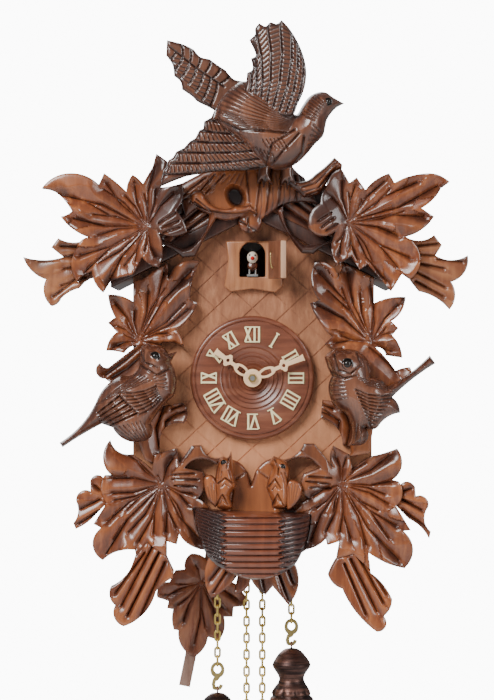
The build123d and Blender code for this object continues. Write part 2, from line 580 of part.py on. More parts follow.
def plate(name, rear, holes):
    with BuildPart() as sheet:
        with BuildSketch(front(rear, 6)):
            RectangleRounded(72, 80, 3)
            for x, w, r in holes:
                with Locations((x, w - 6)):
                    Circle(r, mode=Mode.SUBTRACT)
        extrude(amount=PLATE_T)
        if rear == PLATE_BACK_Y:
            # cock that carries the rear end of the pendulum arbor
            with BuildSketch(front(-16, PIVOT_W)):
                SlotOverall(42, 11)
                Circle(FINE_R + FIT, mode=Mode.SUBTRACT)
            extrude(amount=2)
            with BuildSketch(front(-18, PIVOT_W)):
                with Locations((-16, 0), (16, 0)):
                    Circle(2.2)
            extrude(amount=-18 - PLATE_BACK_Y)
    sheet.part.label = name
    export_step(sheet.part, f"parts/{name}.step")


arbors = [(0, 0, ARBOR_R + FIT), (TIME_X, CHAIN_W, ARBOR_R + FIT), (STRIKE_X, CHAIN_W, ARBOR_R + FIT),
          (0, ESCAPE_W, FINE_R + FIT), (0, PIVOT_W, FINE_R + FIT)]
plate("plate_front", PLATE_FRONT_Y, arbors)
plate("plate_back", PLATE_BACK_Y, arbors + [(HAMMER_X, HAMMER_W, FINE_R + FIT)])
with BuildPart() as pillars:
    with BuildSketch(front(PLATE_BACK_Y - PLATE_T)):
        with Locations((-31, -29), (31, -29), (-31, 41), (31, 41)):
            Circle(3)
    extrude(amount=PLATE_BACK_Y - PLATE_T - PLATE_FRONT_Y)
    # feet that hold the front plate to the front panel, and the pin of the minute wheel
    with BuildSketch(front(PLATE_FRONT_Y - PLATE_T)):
        with Locations((-31, -29), (31, -29), (-31, 41), (31, 41)):
            Circle(4)
        with Locations((0, STUD_W)):
            Circle(ARBOR_R)
    extrude(amount=PLATE_FRONT_Y - PLATE_T - PANEL_BACK)
pillars.part.label = "pillars"
export_step(pillars.part, "parts/pillars.step")

with BuildPart() as minute_arbor:
    with BuildSketch(front(-33)):
        Circle(ARBOR_R)
    extrude(amount=70.4)
    with BuildSketch(front(-73)):
        add(gear_face(12, 25 / 48, -90, 0))
    extrude(amount=2)
    with BuildSketch(front(-60)):
        add(gear_face(48, 0.5, 0, 0))
    extrude(amount=1.5)
minute_arbor.part.label = "minute_arbor"
export_step(minute_arbor.part, "parts/minute_arbor.step")
with BuildPart() as minute_wheel:
    with BuildSketch(front(-73, STUD_W)):
        add(gear_face(36, 25 / 48, 95, ARBOR_R + FIT))
    extrude(amount=2)
    with BuildSketch(front(-75, STUD_W)):
        add(gear_face(10, 0.5, 90, ARBOR_R + FIT))
    extrude(amount=2.5)
minute_wheel.part.label = "minute_wheel"
export_step(minute_wheel.part, "parts/minute_wheel.step")
with BuildPart() as hour_wheel:
    with BuildSketch(front(-75.5)):
        add(gear_face(40, 0.5, -85.5, ARBOR_R + FIT))
    extrude(amount=2)
    with BuildSketch(front(-77)):
        Circle(TUBE_R)
        Circle(ARBOR_R + FIT, mode=Mode.SUBTRACT)
    extrude(amount=-77 - HOUR_Y + HAND_THICK)
hour_wheel.part.label = "hour_wheel"
export_step(hour_wheel.part, "parts/hour_wheel.step")

for name, x in (("time_chain_wheel", TIME_X), ("strike_chain_wheel", STRIKE_X)):
    with BuildPart() as chain_wheel:
        with BuildSketch(front(-33, CHAIN_W, x)):
            Circle(ARBOR_R)
        extrude(amount=40)
        with BuildSketch(front(-42, CHAIN_W, x)):
            add(gear_face(48, 0.5, 0, 0))
        extrude(amount=1.5)
        with BuildSketch(front(-47, CHAIN_W, x)):
            Circle(7.2)
            with PolarLocations(7.2, 10):
                Circle(1.2, mode=Mode.SUBTRACT)
        extrude(amount=6)
        with BuildSketch(front(-49, CHAIN_W, x)):
            Circle(8)
            Circle(5.4, mode=Mode.SUBTRACT)
        extrude(amount=2, mode=Mode.SUBTRACT)
    chain_wheel.part.label = name
    export_step(chain_wheel.part, f"parts/{name}.step")

with BuildPart() as escape_wheel:
    with BuildSketch(front(-33, ESCAPE_W)):
        Circle(FINE_R)
    extrude(amount=39.5)
    with BuildSketch(front(-39, ESCAPE_W)):
        Circle(6.6)
        with PolarLocations(0, 30):
            Polygon((6.3, -0.6), (ESCAPE_R, -0.15), (ESCAPE_R, 0.15), (6.3, 0.3), align=None)
        with PolarLocations(4.2, 5):
            Circle(1.6, mode=Mode.SUBTRACT)
    extrude(amount=1.5)
    with BuildSketch(front(-60, ESCAPE_W)):
        add(gear_face(8, 0.5, 0, 0))
    extrude(amount=4)
escape_wheel.part.label = "escape_wheel"
export_step(escape_wheel.part, "parts/escape_wheel.step")

# ---- pendulum, shown swung to the left
with BuildPart() as pendulum_arbor:
    with BuildSketch(front(-15.5, PIVOT_W)):
        Circle(FINE_R)
    extrude(amount=57)
    with BuildSketch(front(-38.8, PIVOT_W)):
        for side in (-1, 1):
            with Locations(Location((0, 0, 0), -SWING - side * 52) * Location((0, 5.6, 0))):
                Rectangle(1.6, 13.4)
        Circle(2.4)
    extrude(amount=2)
pendulum_arbor.part.label = "pendulum_arbor"
export_step(pendulum_arbor.part, "parts/pendulum_arbor.step")
ROD_LENGTH = 230.0
with BuildPart() as pendulum_rod:
    with BuildSketch(front(-21, PIVOT_W)):
        with Locations(Location((0, 0, 0), -SWING) * Location((0, 3 - ROD_LENGTH / 2, 0))):
            Rectangle(7.6, ROD_LENGTH + 6)
        Circle(FINE_R, mode=Mode.SUBTRACT)
    extrude(amount=3)
pendulum_rod.part.label = "pendulum_rod"
export_step(pendulum_rod.part, "parts/pendulum_rod.step")
carved("pendulum_leaf", [(PENDULUM_LEAF, -24, -31, [])])

# ---- chains, hooks and weights
LINK_HALF = 1.6
LINK_R = LINK_PITCH / 2 + 0.5 - LINK_HALF
with BuildPart() as link:
    with BuildLine() as link_path:
        Line((LINK_HALF, 0, -LINK_R), (LINK_HALF, 0, LINK_R))
        ThreePointArc((LINK_HALF, 0, LINK_R), (0, 0, LINK_R + LINK_HALF), (-LINK_HALF, 0, LINK_R))
        Line((-LINK_HALF, 0, LINK_R), (-LINK_HALF, 0, -LINK_R))
        ThreePointArc((-LINK_HALF, 0, -LINK_R), (0, 0, -LINK_R - LINK_HALF), (LINK_HALF, 0, -LINK_R))
    with BuildSketch(Plane(origin=(LINK_HALF, 0, -LINK_R), z_dir=(0, 0, 1))):
        Circle(WIRE_R)
    sweep()
link_solid = link.part.solids()[0]
LINK_REACH = LINK_R + LINK_HALF

RING_R = 3.9
RING_WIRE = 0.7
PULL_W = -222.0         # ring at the free end of each chain
LAST_LINK = RING_R - 1.27 + LINK_REACH


def strand(name, x, ring_w):
    """Links up to the chain wheel, each turned a quarter turn from the last; a pull ring at a free end."""
    count = int((CHAIN_W - ring_w - LAST_LINK) / LINK_PITCH) + 1
    free_end = 1 if ring_w == PULL_W else 0
    with BuildPart() as chain:
        spots = [Location((x, CHAIN_Y, DIAL_Z + ring_w + LAST_LINK + k * LINK_PITCH),
                          (0, 0, 90 * ((k + 1 + free_end) % 2))) for k in range(count)]
        with Locations(*spots):
            add(link_solid)
        if free_end:
            with Locations(Location((x, CHAIN_Y, DIAL_Z + ring_w), (0, 90, 0))):
                Torus(RING_R, RING_WIRE)
    chain.part.label = name
    export_step(chain.part, f"parts/{name}.step")


EYE_R = 2.3
EYE_WIRE = 0.55


def weight_set(kind, x, ring_w, top_w):
    """Hook with its ring, and the cast pine cone weight hanging from it."""
    hook_low = top_w + 1.5 + EYE_R - EYE_WIRE - RING_WIRE - 0.2
    with BuildPart() as hook:
        bend = 2.4
        shank_w = ring_w - math.sqrt(RING_R ** 2 - bend ** 2)
        with BuildLine(front(CHAIN_Y)) as shank:
            Line((x - bend, shank_w), (x - bend, hook_low + bend))
            ThreePointArc((x - bend, hook_low + bend), (x, hook_low), (x + bend, hook_low + bend))
        with BuildSketch(Plane(origin=shank.line @ 0, z_dir=shank.line % 0)):
            Circle(RING_WIRE)
        sweep()
        with Locations(Location((x, CHAIN_Y, DIAL_Z + ring_w), (90, 0, 0))):
            Torus(RING_R, RING_WIRE)
    hook.part.label = f"{kind}_hook"
    export_step(hook.part, f"parts/{kind}_hook.step")
    with BuildPart() as cone:
        with BuildSketch(Plane(origin=(x, CHAIN_Y, DIAL_Z + top_w), x_dir=(1, 0, 0), z_dir=(0, -1, 0))):
            with BuildLine():
                loop([(0, 0, 0), (4, 0, 1.2), (11.8, -10.5, 0.8), (10.4, -14.5, -0.6), (7.4, -20.5, -0.8),
                      (11.5, -27, 1), (15.6, -42, 0.6), (15.4, -72, 1), (8, -126, 0), (3, -134, 0),
                      (0, -134, 0)])
            make_face()
        revolve(axis=Axis((x, CHAIN_Y, 0), (0, 0, 1)))
        with Locations(Location((x, CHAIN_Y, DIAL_Z + top_w + 1.5), (0, 90, 0))):
            Torus(EYE_R, EYE_WIRE)
    cone.part.label = f"{kind}_weight"
    export_step(cone.part, f"parts/{kind}_weight.step")


strand("time_chain", TIME_X - CHAIN_R, -193.0)
weight_set("time", TIME_X - CHAIN_R, -193.0, -208.0)
strand("time_pull_chain", TIME_X + CHAIN_R, PULL_W)
strand("strike_chain", STRIKE_X + CHAIN_R, -164.5)
weight_set("strike", STRIKE_X + CHAIN_R, -164.5, -178.5)
strand("strike_pull_chain", STRIKE_X - CHAIN_R, PULL_W)

# ---- bird door and cuckoo
with BuildPart() as door_plaque:
    with BuildSketch(front(PANEL_FRONT)):
        add(face_of(PLAQUE))
        add(face_of(ARCH), mode=Mode.SUBTRACT)
    extrude(amount=5)
door_plaque.part.label = "door_plaque"
export_step(door_plaque.part, "parts/door_plaque.step")

DOOR_Y = -97.4           # hinge line, at the outer face of the closed door
DOOR_THICK = 4.0
with BuildPart() as cuckoo_door:
    hinge = Plane(origin=(DOOR_HINGE_X, DOOR_Y, DIAL_Z + 63.5), x_dir=(1, 0, 0), z_dir=(0, 0, 1))
    with BuildSketch(hinge.rotated((0, 0, DOOR_OPEN))):
        Polygon((-0.6, 0), (-DOOR_W, 0), (-DOOR_W, DOOR_THICK), (-0.6, DOOR_THICK), align=None)
    extrude(amount=24)
cuckoo_door.part.label = "cuckoo_door"
export_step(cuckoo_door.part, "parts/cuckoo_door.step")

CUCKOO_Y = -91.0
with BuildPart() as cuckoo:
    with Locations((0, CUCKOO_Y, DIAL_Z + 77.5)):
        Sphere(3.6)
    with BuildSketch(Plane.XY.offset(DIAL_Z + 70)):
        with Locations((0, CUCKOO_Y + 2.5)):
            Ellipse(3.4, 5.5)
    extrude(amount=5.5, taper=12)
    with BuildSketch(Plane(origin=(0, CUCKOO_Y - 3, DIAL_Z + 77), x_dir=(1, 0, 0), z_dir=(0, -1, 0))):
        Circle(1.3)
    extrude(amount=3, taper=15)
cuckoo.part.label = "cuckoo"
export_step(cuckoo.part, "parts/cuckoo.step")
with BuildPart() as cuckoo_slide:
    with BuildSketch(Plane.XY.offset(DIAL_Z + 66)):
        with Locations((-2, CUCKOO_Y + 2.5), (2, CUCKOO_Y + 2.5)):
            Circle(0.6)
    extrude(amount=4.2)
    with BuildSketch(front(CUCKOO_Y + 20, 66)):
        Rectangle(7, 1.4)
    extrude(amount=23)
    add(cuckoo.part, mode=Mode.SUBTRACT)
cuckoo_slide.part.label = "cuckoo_slide"
export_step(cuckoo_slide.part, "parts/cuckoo_slide.step")

# ---- bellows and whistle pipes, gong and hammer
for side, kind in ((-1, "left"), (1, "right")):
    mid = side * 58.0
    with BuildPart() as whistle:
        with BuildSketch(Plane.XY.offset(DIAL_Z + CASE_BOTTOM + BOARD)):
            with Locations((mid, -66)):
                Rectangle(15, 18)
                Rectangle(10, 13, mode=Mode.SUBTRACT)
        extrude(amount=94)
        with BuildSketch(front(-75, -2, mid)):
            Rectangle(10, 5)
        extrude(amount=-4, mode=Mode.SUBTRACT)
        # folded bellows on top of the pipe
        for k in range(4):
            with BuildSketch(Plane.XY.offset(DIAL_Z + 10 + 3 * k)):
                with Locations((mid, -58)):
                    Rectangle(17, 34)
            with BuildSketch(Plane.XY.offset(DIAL_Z + 11.5 + 3 * k)):
                with Locations((mid, -58)):
                    Rectangle(14, 31)
            loft()
            with BuildSketch(Plane.XY.offset(DIAL_Z + 11.5 + 3 * k)):
                with Locations((mid, -58)):
                    Rectangle(14, 31)
            with BuildSketch(Plane.XY.offset(DIAL_Z + 13 + 3 * k)):
                with Locations((mid, -58)):
                    Rectangle(17, 34)
            loft()
    whistle.part.label = f"whistle_{kind}"
    export_step(whistle.part, f"parts/whistle_{kind}.step")
    with BuildPart() as lid:
        with BuildSketch(Plane.XY.offset(DIAL_Z + 22.2)):
            with Locations((mid, -58)):
                Rectangle(17, 34)
        extrude(amount=3)
        with BuildSketch(Plane.XY.offset(DIAL_Z + 25.2)):
            with Locations((mid, -72)):
                Circle(2.2)
        extrude(amount=4)
    lid.part.label = f"bellows_lid_{kind}"
    export_step(lid.part, f"parts/bellows_lid_{kind}.step")

with BuildPart() as gong:
    for r in (20.0, 15.0):
        with Locations(Location((34, -31.5, DIAL_Z - 50), (90, 0, 0))):
            Torus(r, 1.0)
    with BuildSketch(front(-30.5)):
        with Locations((34, -62)):
            Rectangle(3, 28)
    extrude(amount=2)
    with BuildSketch(Plane.XY.offset(DIAL_Z + CASE_BOTTOM + BOARD)):
        with Locations((36, -31.5)):
            Rectangle(8, 8)
    extrude(amount=10)
gong.part.label = "gong"
export_step(gong.part, "parts/gong.step")
with BuildPart() as gong_hammer:
    with BuildSketch(front(-30.5, HAMMER_W, HAMMER_X)):
        Circle(FINE_R)
    extrude(amount=6)
    with BuildSketch(front(-30.5, HAMMER_W, HAMMER_X)):
        Circle(2.5)
        with Locations(Location((0, 0, 0), -42) * Location((12, 0, 0))):
            Rectangle(24, 1.8)
        with Locations(Location((0, 0, 0), -42) * Location((26.9, 0, 0))):
            Circle(3)
            Rectangle(6, 4)
    extrude(amount=2)
gong_hammer.part.label = "gong_hammer"
export_step(gong_hammer.part, "parts/gong_hammer.step")
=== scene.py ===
import bmesh
import bpy
import math
import numpy as np
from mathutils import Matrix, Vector
from mathutils.geometry import delaunay_2d_cdt


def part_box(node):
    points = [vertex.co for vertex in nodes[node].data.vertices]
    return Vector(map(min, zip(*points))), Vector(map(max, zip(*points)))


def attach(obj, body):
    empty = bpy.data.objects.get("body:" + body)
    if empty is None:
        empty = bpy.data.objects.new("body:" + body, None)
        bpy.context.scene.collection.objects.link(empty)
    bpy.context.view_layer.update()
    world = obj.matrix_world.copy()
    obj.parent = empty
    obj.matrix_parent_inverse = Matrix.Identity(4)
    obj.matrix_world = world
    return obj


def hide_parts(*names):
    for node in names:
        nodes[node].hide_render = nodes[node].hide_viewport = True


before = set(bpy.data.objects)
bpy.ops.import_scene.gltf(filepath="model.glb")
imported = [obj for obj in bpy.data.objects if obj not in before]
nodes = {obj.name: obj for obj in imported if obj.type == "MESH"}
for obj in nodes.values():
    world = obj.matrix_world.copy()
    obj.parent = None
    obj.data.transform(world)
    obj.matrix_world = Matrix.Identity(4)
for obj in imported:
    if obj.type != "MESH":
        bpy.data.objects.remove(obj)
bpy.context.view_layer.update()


# ---- camera: 1.6 m in front of the dial, a little above its middle
CAMERA_DISTANCE = 1.6
VIEW_HEIGHT = 0.4515          # what the picture's height covers at the panel
CAMERA_X, CAMERA_Z = -0.0035, -0.077
PANEL = -88                   # y of the panel's front face, mm
DIAL_Z = -95.0                # z of the dial's middle, mm
camera_data = bpy.data.cameras.new("camera")
camera = bpy.data.objects.new("camera", camera_data)
bpy.context.scene.collection.objects.link(camera)
bpy.context.scene.camera = camera
camera_data.sensor_fit = "VERTICAL"
camera_data.angle = 2 * math.atan(VIEW_HEIGHT / 2 / CAMERA_DISTANCE)
camera.location = (CAMERA_X, PANEL / 1000 - CAMERA_DISTANCE, CAMERA_Z)
camera.rotation_euler = (math.radians(90), 0, 0)

# ---- studio: a bright plain backdrop for the camera, faint light from all round, and four soft lamps
FILL, BACKDROP = 0.2, 11.0
world = bpy.data.worlds.new("studio")
bpy.context.scene.world = world
world.use_nodes = True
wn = world.node_tree.nodes
wl = world.node_tree.links
wn.clear()
pick = wn.new("ShaderNodeMixShader")
for place, strength in ((1, FILL), (2, BACKDROP)):
    glow = wn.new("ShaderNodeBackground")
    glow.inputs["Color"].default_value = (1, 1, 1, 1)
    glow.inputs["Strength"].default_value = strength
    wl.new(glow.outputs[0], pick.inputs[place])
wl.new(wn.new("ShaderNodeLightPath").outputs["Is Camera Ray"], pick.inputs["Fac"])
wl.new(pick.outputs[0], wn.new("ShaderNodeOutputWorld").inputs["Surface"])

LAMPS = [  # name, place, aim, width and height in m, watts
    ("key", (-0.9, -1.5, 0.9), (0, -0.1, -0.1), (0.85, 0.85), 43),
    ("side", (1.4, -1.0, 0.3), (0, -0.1, -0.1), (0.4, 1.2), 13),
    ("low", (0.2, -1.4, -1.0), (0, -0.1, -0.15), (1.2, 0.4), 11),
    ("behind", (-0.6, 1.4, 0.8), (0, 0, -0.1), (1.2, 1.2), 14),
]
for name, place, aim, (width, height), power in LAMPS:
    data = bpy.data.lights.new(name, "AREA")
    data.shape = "RECTANGLE"
    data.size, data.size_y, data.energy = width, height, power
    lamp = bpy.data.objects.new(name, data)
    lamp.location = place
    lamp.rotation_euler = (Vector(aim) - Vector(place)).to_track_quat("-Z", "Y").to_euler()
    bpy.context.scene.collection.objects.link(lamp)

FLOOR_Z, FLOOR_HALF = -0.75, 2
floor_mesh = bpy.data.meshes.new("floor")
floor_mesh.from_pydata([(x * FLOOR_HALF, y * FLOOR_HALF, FLOOR_Z) for x,
    y in ((-1, -1), (1, -1), (1, 1), (-1, 1))], [], [(0, 1, 2, 3)])
floor = bpy.data.objects.new("floor", floor_mesh)
bpy.context.scene.collection.objects.link(floor)


# ---- materials
def put(tree, socket, value):
    """Link a node's output to a socket, or set the socket's own number or colour."""
    if hasattr(value, "is_output"):
        tree.links.new(value, socket)
    else:
        socket.default_value = (*value, 1) if socket.type == "RGBA" else value


def add(tree, kind, inputs, output=0):
    n = tree.nodes.new("ShaderNode" + kind)
    for key, value in inputs.items():
        put(tree, n.inputs[key], value)
    return n.outputs[output]


def stretched(tree, scale):
    coords = tree.nodes.new("ShaderNodeTexCoord")
    return add(tree, "Mapping", {"Vector": coords.outputs["Object"], "Scale": scale})


def noise(tree, stretch, detail, rough=0.55, distortion=0.0, scale=1.0):
    size = stretch if isinstance(stretch, tuple) else (stretch, stretch, stretch)
    return add(tree, "TexNoise", {"Vector": stretched(tree, size), "Scale": scale, "Detail": detail,
        "Roughness": rough, "Distortion": distortion}, "Fac")


def ramp(tree, value, stops):
    r = tree.nodes.new("ShaderNodeValToRGB")
    tree.links.new(value, r.inputs["Fac"])
    for i, (place, colour) in enumerate(stops):
        stop = r.color_ramp.elements[i] if i < 2 else r.color_ramp.elements.new(place)
        stop.position = place
        stop.color = (*colour, 1)
    return r.outputs["Color"]


def mask(tree, value, low, high):
    return ramp(tree, value, [(low, (0, 0, 0)), (high, (1, 1, 1))])


def mix(tree, share, a, b):
    m = tree.nodes.new("ShaderNodeMix")
    m.data_type = "RGBA"
    for value, place in ((share, 0), (a, 6), (b, 7)):
        put(tree, m.inputs[place], value)
    return m.outputs[2]


def spread(tree, value, low, high, start=0.0, end=1.0):
    return add(tree, "MapRange", {"Value": value, "From Min": start, "From Max": end, "To Min": low,
        "To Max": high})


def stored(tree, label):
    """What a carving keeps at each vertex: cut is dark stain in the grooves together with painted shade,
    crest is a worn top.
    """
    n = tree.nodes.new("ShaderNodeAttribute")
    n.attribute_name = label
    return n.outputs["Fac"]


def material(name, make):
    """make(tree) gives the Principled shader's inputs, then the bump's height, strength and distance in m."""
    mat = bpy.data.materials.new(name)
    mat.use_nodes = True
    tree = mat.node_tree
    tree.nodes.clear()
    bsdf = tree.nodes.new("ShaderNodeBsdfPrincipled")
    tree.links.new(bsdf.outputs[0], tree.nodes.new("ShaderNodeOutputMaterial").inputs["Surface"])
    inputs, (height, strength, distance) = make(tree)
    inputs["Normal"] = add(tree, "Bump", {"Strength": strength, "Distance": distance, "Height": height})
    for key, value in inputs.items():
        put(tree, bsdf.inputs[key], value)
    return mat


def wood(name, dark, mid, light, rough=0.35, coat=0.5, grain=(1, 1, 0.12), carved=False,
         stain=(0.03, 0.01, 0.006), gloss=0.2, fade=None):
    """Stained and varnished wood: long grain, pores, patchy stain, dark stain left in the cuts, and painted
    shade that the cut value also carries.

    fade is (z where it starts, z where it is full, paler colour): painted light, the wood turning paler lower
    down."""
    def make(tree):
        fine = noise(tree, tuple(60 * g for g in grain), 6, 0.6, 0.4, 4.0)
        pores = noise(tree, tuple(420 * g for g in grain), 3, 0.7, scale=2.0)
        patch = noise(tree, 14, 3, 0.5)
        colour = ramp(tree, fine, [(0.3, dark), (0.7, light), (0.5, mid)])
        colour = mix(tree, spread(tree, patch, 0.0, 0.55), colour, mid)
        colour = mix(tree, spread(tree, pores, 0.35, 0.0), colour, dark)
        # painted light: the colour turns paler lower down
        if fade:
            z = add(tree, "SeparateXYZ", {0: stretched(tree, (1, 1, 1))}, "Z")
            colour = mix(tree, spread(tree, z, 0.0, 0.6, *fade[:2]), colour, fade[2])
        if carved:
            deep = mask(tree, noise(tree, 26, 2, 0.5), 0.5, 0.72)
            colour = mix(tree, spread(tree, deep, 0.0, 0.55), colour, dark)
            # the cut value mixes in the stain colour: dark stain in the grooves and painted shade
            colour = mix(tree, stored(tree, "cut"), colour, stain)
            colour = mix(tree, spread(tree, stored(tree, "crest"), 0.0, 0.6), colour, light)
        return {"Base Color": colour, "Roughness": spread(tree, patch, rough - 0.08, rough + 0.1),
            "Coat Weight": coat, "Coat Roughness": gloss, "IOR": 1.5}, (fine, 0.25, 0.0006)
    return material(name, make)


def metal(name, colour, rough, tarnish=(0.25, 0.17, 0.07), amount=0.35):
    def make(tree):
        brushed = noise(tree, 300, 4)
        patch = noise(tree, 60, 4)
        return {"Base Color": mix(tree, spread(tree, patch, 0.0, amount), colour, tarnish),
            "Roughness": spread(tree, brushed, rough, rough + 0.2), "Metallic": 1.0}, (brushed, 0.1, 0.0002)
    return material(name, make)


def paint(name, colour, shade, rough=0.45):
    def make(tree):
        patch = noise(tree, 220, 5)
        return {"Base Color": mix(tree, spread(tree, patch, 0.0, 0.7), colour, shade),
            "Roughness": spread(tree, patch, rough - 0.05, rough + 0.15)}, (patch, 0.15, 0.0003)
    return material(name, make)


def cone_metal(tree):
    """Bronzed cast iron, rubbed brighter on the scales."""
    patch = noise(tree, (30, 30, 330), 5)
    colour = mix(tree, mask(tree, patch, 0.36, 0.6), (0.30, 0.145, 0.11), (0.045, 0.024, 0.022))
    return {"Base Color": mix(tree, stored(tree, "cut"), colour, (0.012, 0.007, 0.006)), "Metallic": 0.75,
            "Roughness": spread(tree, patch, 0.3, 0.5)}, (noise(tree, 500, 4), 0.3, 0.0003)


LEAF = wood("leaf_wood", (0.10, 0.024, 0.009), (0.255, 0.067, 0.022), (0.56, 0.185, 0.062), 0.32, 0.6,
            carved=True, stain=(0.026, 0.009, 0.007), gloss=0.21)
BUD = wood("bud_wood", (0.15, 0.045, 0.018), (0.33, 0.108, 0.044), (0.53, 0.22, 0.095), 0.33, 0.6,
           carved=True, gloss=0.22)
BIRD = wood("bird_wood", (0.034, 0.011, 0.007), (0.10, 0.03, 0.015), (0.33, 0.125, 0.062), 0.27, 0.75,
            carved=True, stain=(0.016, 0.006, 0.005))
NEST_WOOD = wood("nest_wood", (0.055, 0.014, 0.007), (0.138, 0.031, 0.013), (0.28, 0.078, 0.032), 0.32, 0.6,
    carved=True, stain=(0.02, 0.009, 0.009), gloss=0.18)
# the case wood is painted paler lower down: painted light
CASE = wood("case_wood", (0.20, 0.068, 0.03), (0.37, 0.148, 0.07), (0.59, 0.275, 0.142), 0.42, 0.2,
            grain=(1, 1, 0.3), gloss=0.3, fade=(-0.04, -0.165, (0.93, 0.40, 0.19)))
ROOF = wood("roof_wood", (0.028, 0.009, 0.006), (0.06, 0.02, 0.012), (0.12, 0.045, 0.026), 0.36, 0.45)
DOOR = wood("door_wood", (0.13, 0.045, 0.022), (0.22, 0.082, 0.042), (0.32, 0.135, 0.075), 0.42, 0.2)
DOOR_EDGE = wood("door_edge_wood", (0.42, 0.22, 0.12), (0.6, 0.34, 0.2), (0.72, 0.45, 0.29), 0.45, 0.1)
INNER = wood("inner_wood", (0.3, 0.19, 0.1), (0.45, 0.3, 0.17), (0.56, 0.4, 0.25), 0.6, 0.0)
DIAL = wood("dial_wood", (0.10, 0.028, 0.014), (0.21, 0.066, 0.034), (0.33, 0.125, 0.065), 0.33, 0.3,
            grain=(0.12, 1, 1))
PLAQUE = wood("plaque_wood", (0.22, 0.08, 0.035), (0.44, 0.17, 0.07), (0.6, 0.27, 0.12), 0.42, 0.2)
PENDULUM = wood("pendulum_wood", (0.15, 0.043, 0.02), (0.35, 0.11, 0.052), (0.56, 0.23, 0.115), 0.33, 0.5,
    carved=True, stain=(0.035, 0.011, 0.008))
STICK = wood("stick_wood", (0.3, 0.16, 0.12), (0.41, 0.24, 0.18), (0.5, 0.33, 0.26), 0.6, 0.0)
NUMERAL = paint("numeral_paint", (0.93, 0.82, 0.48), (0.80, 0.68, 0.36))
HAND = paint("hand_paint", (0.95, 0.66, 0.40), (0.84, 0.52, 0.28))
WHITE = paint("cuckoo_white", (0.85, 0.74, 0.58), (0.72, 0.6, 0.45))
RED = paint("cuckoo_red", (0.75, 0.02, 0.015), (0.55, 0.01, 0.01), 0.3)
BLACK = paint("eye_black", (0.01, 0.008, 0.007), (0.02, 0.015, 0.012), 0.12)
BRASS = metal("brass", (0.66, 0.47, 0.2), 0.25)
CHAIN = metal("chain_brass", (0.80, 0.60, 0.20), 0.32, tarnish=(0.46, 0.33, 0.09))
HOOK = metal("hook_brass", (0.62, 0.48, 0.20), 0.34, tarnish=(0.38, 0.28, 0.10), amount=0.5)
STEEL = metal("steel", (0.6, 0.6, 0.58), 0.25, tarnish=(0.4, 0.38, 0.35))
CONE = material("cone_metal", cone_metal)
PALE = paint("floor_pale", (0.85, 0.85, 0.84), (0.8, 0.8, 0.79), 0.7)
floor_mesh.materials.append(PALE)

KEEP = {  # CAD nodes that show as they are
    CASE: "front_panel",
    INNER: "rear_cover back_rail whistle_left whistle_right bellows_lid_left bellows_lid_right",
    BRASS: "plate_front plate_back escape_wheel time_chain_wheel strike_chain_wheel minute_wheel hour_wheel "
           "hand_nut pillars",
    STEEL: "minute_arbor pendulum_arbor gong gong_hammer hanger_plate cuckoo_slide",
}
for mat, names in KEEP.items():
    for name in names.split():
        data = nodes[name].data
        if not data.materials:
            data.materials.append(mat)
        for i in range(len(data.materials)):
            data.materials[i] = mat


# ---- outlines taken from the frame, in mm: x, and w up from the middle of the dial
def face_loops(node, y_mm, facing=-1):
    """Outlines of a node's flat faces at one depth that face forward (-1) or the wall (1)."""
    ob = nodes[node]
    turn = ob.matrix_world.to_3x3()
    mesh = ob.data
    spots = [ob.matrix_world @ v.co * 1000 for v in mesh.vertices]
    key = [(round(p.x, 2), round(p.z - DIAL_Z, 2)) for p in spots]
    follow = {}
    edges = set()
    for poly in mesh.polygons:
        vs = list(poly.vertices)
        if any(abs(spots[v].y - y_mm) > 0.02 for v in vs) or (turn @ poly.normal).y * facing < 0.9:
            continue
        ring = [key[v] for v in vs]
        for a, b in zip(ring, ring[1:] + ring[:1]):
            if a == b:
                continue
            if (b, a) in edges:
                edges.remove((b, a))
            else:
                edges.add((a, b))
    for a, b in edges:
        follow.setdefault(a, []).append(b)
    loops = []
    while follow:
        start = min(follow)
        ring = [start]
        here = start
        while True:
            nexts = follow.get(here)
            if not nexts:
                break
            here_next = nexts.pop()
            if not nexts:
                del follow[here]
            here = here_next
            if here == start:
                break
            ring.append(here)
        if len(ring) > 2:
            loops.append(ring)
    return sorted(loops, key=lambda r: -abs(area(r)))


def area(ring):
    return 0.5 * sum(a[0] * b[1] - b[0] * a[1] for a, b in zip(ring, ring[1:] + ring[:1]))


def resample(ring, step):
    dense = []
    for a, b in zip(ring, ring[1:] + ring[:1]):
        n = max(1, int(math.dist(a, b) / step))
        dense += [(a[0] + (b[0] - a[0]) * k / n, a[1] + (b[1] - a[1]) * k / n) for k in range(n)]
    if area(dense) < 0:
        dense.reverse()
    return dense


def to_segments(points, a, b):
    """Distance from each point to each segment, and how far along the segment it lands."""
    p = points[:, None, :]
    d = (b - a)[None]
    t = np.clip(((p - a[None]) * d).sum(-1) / np.maximum((d * d).sum(-1), 1e-9), 0, 1)
    near = a[None] + t[..., None] * d
    return np.sqrt(((p - near) ** 2).sum(-1)), t


def from_rim(points, edge):
    """Distance from each point to the closed outline."""
    return to_segments(points, edge, np.roll(edge, -1, 0))[0].min(1)


def inside(points, ring):
    a = np.array(ring)
    b = np.roll(a, -1, 0)
    x, y = points[:, 0:1], points[:, 1:2]
    crossing = (b[:, 0] - a[:, 0]) * (y - a[:, 1]) / (b[:, 1] - a[:, 1] + 1e-12) + a[:, 0]
    hit = ((a[:, 1] > y) != (b[:, 1] > y)) & (x < crossing)
    return hit.sum(1) % 2 == 1


def metres(x, y, w):
    return x / 1000, y / 1000, (w + DIAL_Z) / 1000


def finish_piece(name, mesh, mat, body="case", node=None):
    mesh.materials.append(mat)
    ob = bpy.data.objects.new(name, mesh)
    bpy.context.scene.collection.objects.link(ob)
    for poly in mesh.polygons:
        poly.use_smooth = True
    mesh.set_sharp_from_angle(angle=math.radians(42))
    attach(ob, body)
    if node:
        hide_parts(node)
    return ob


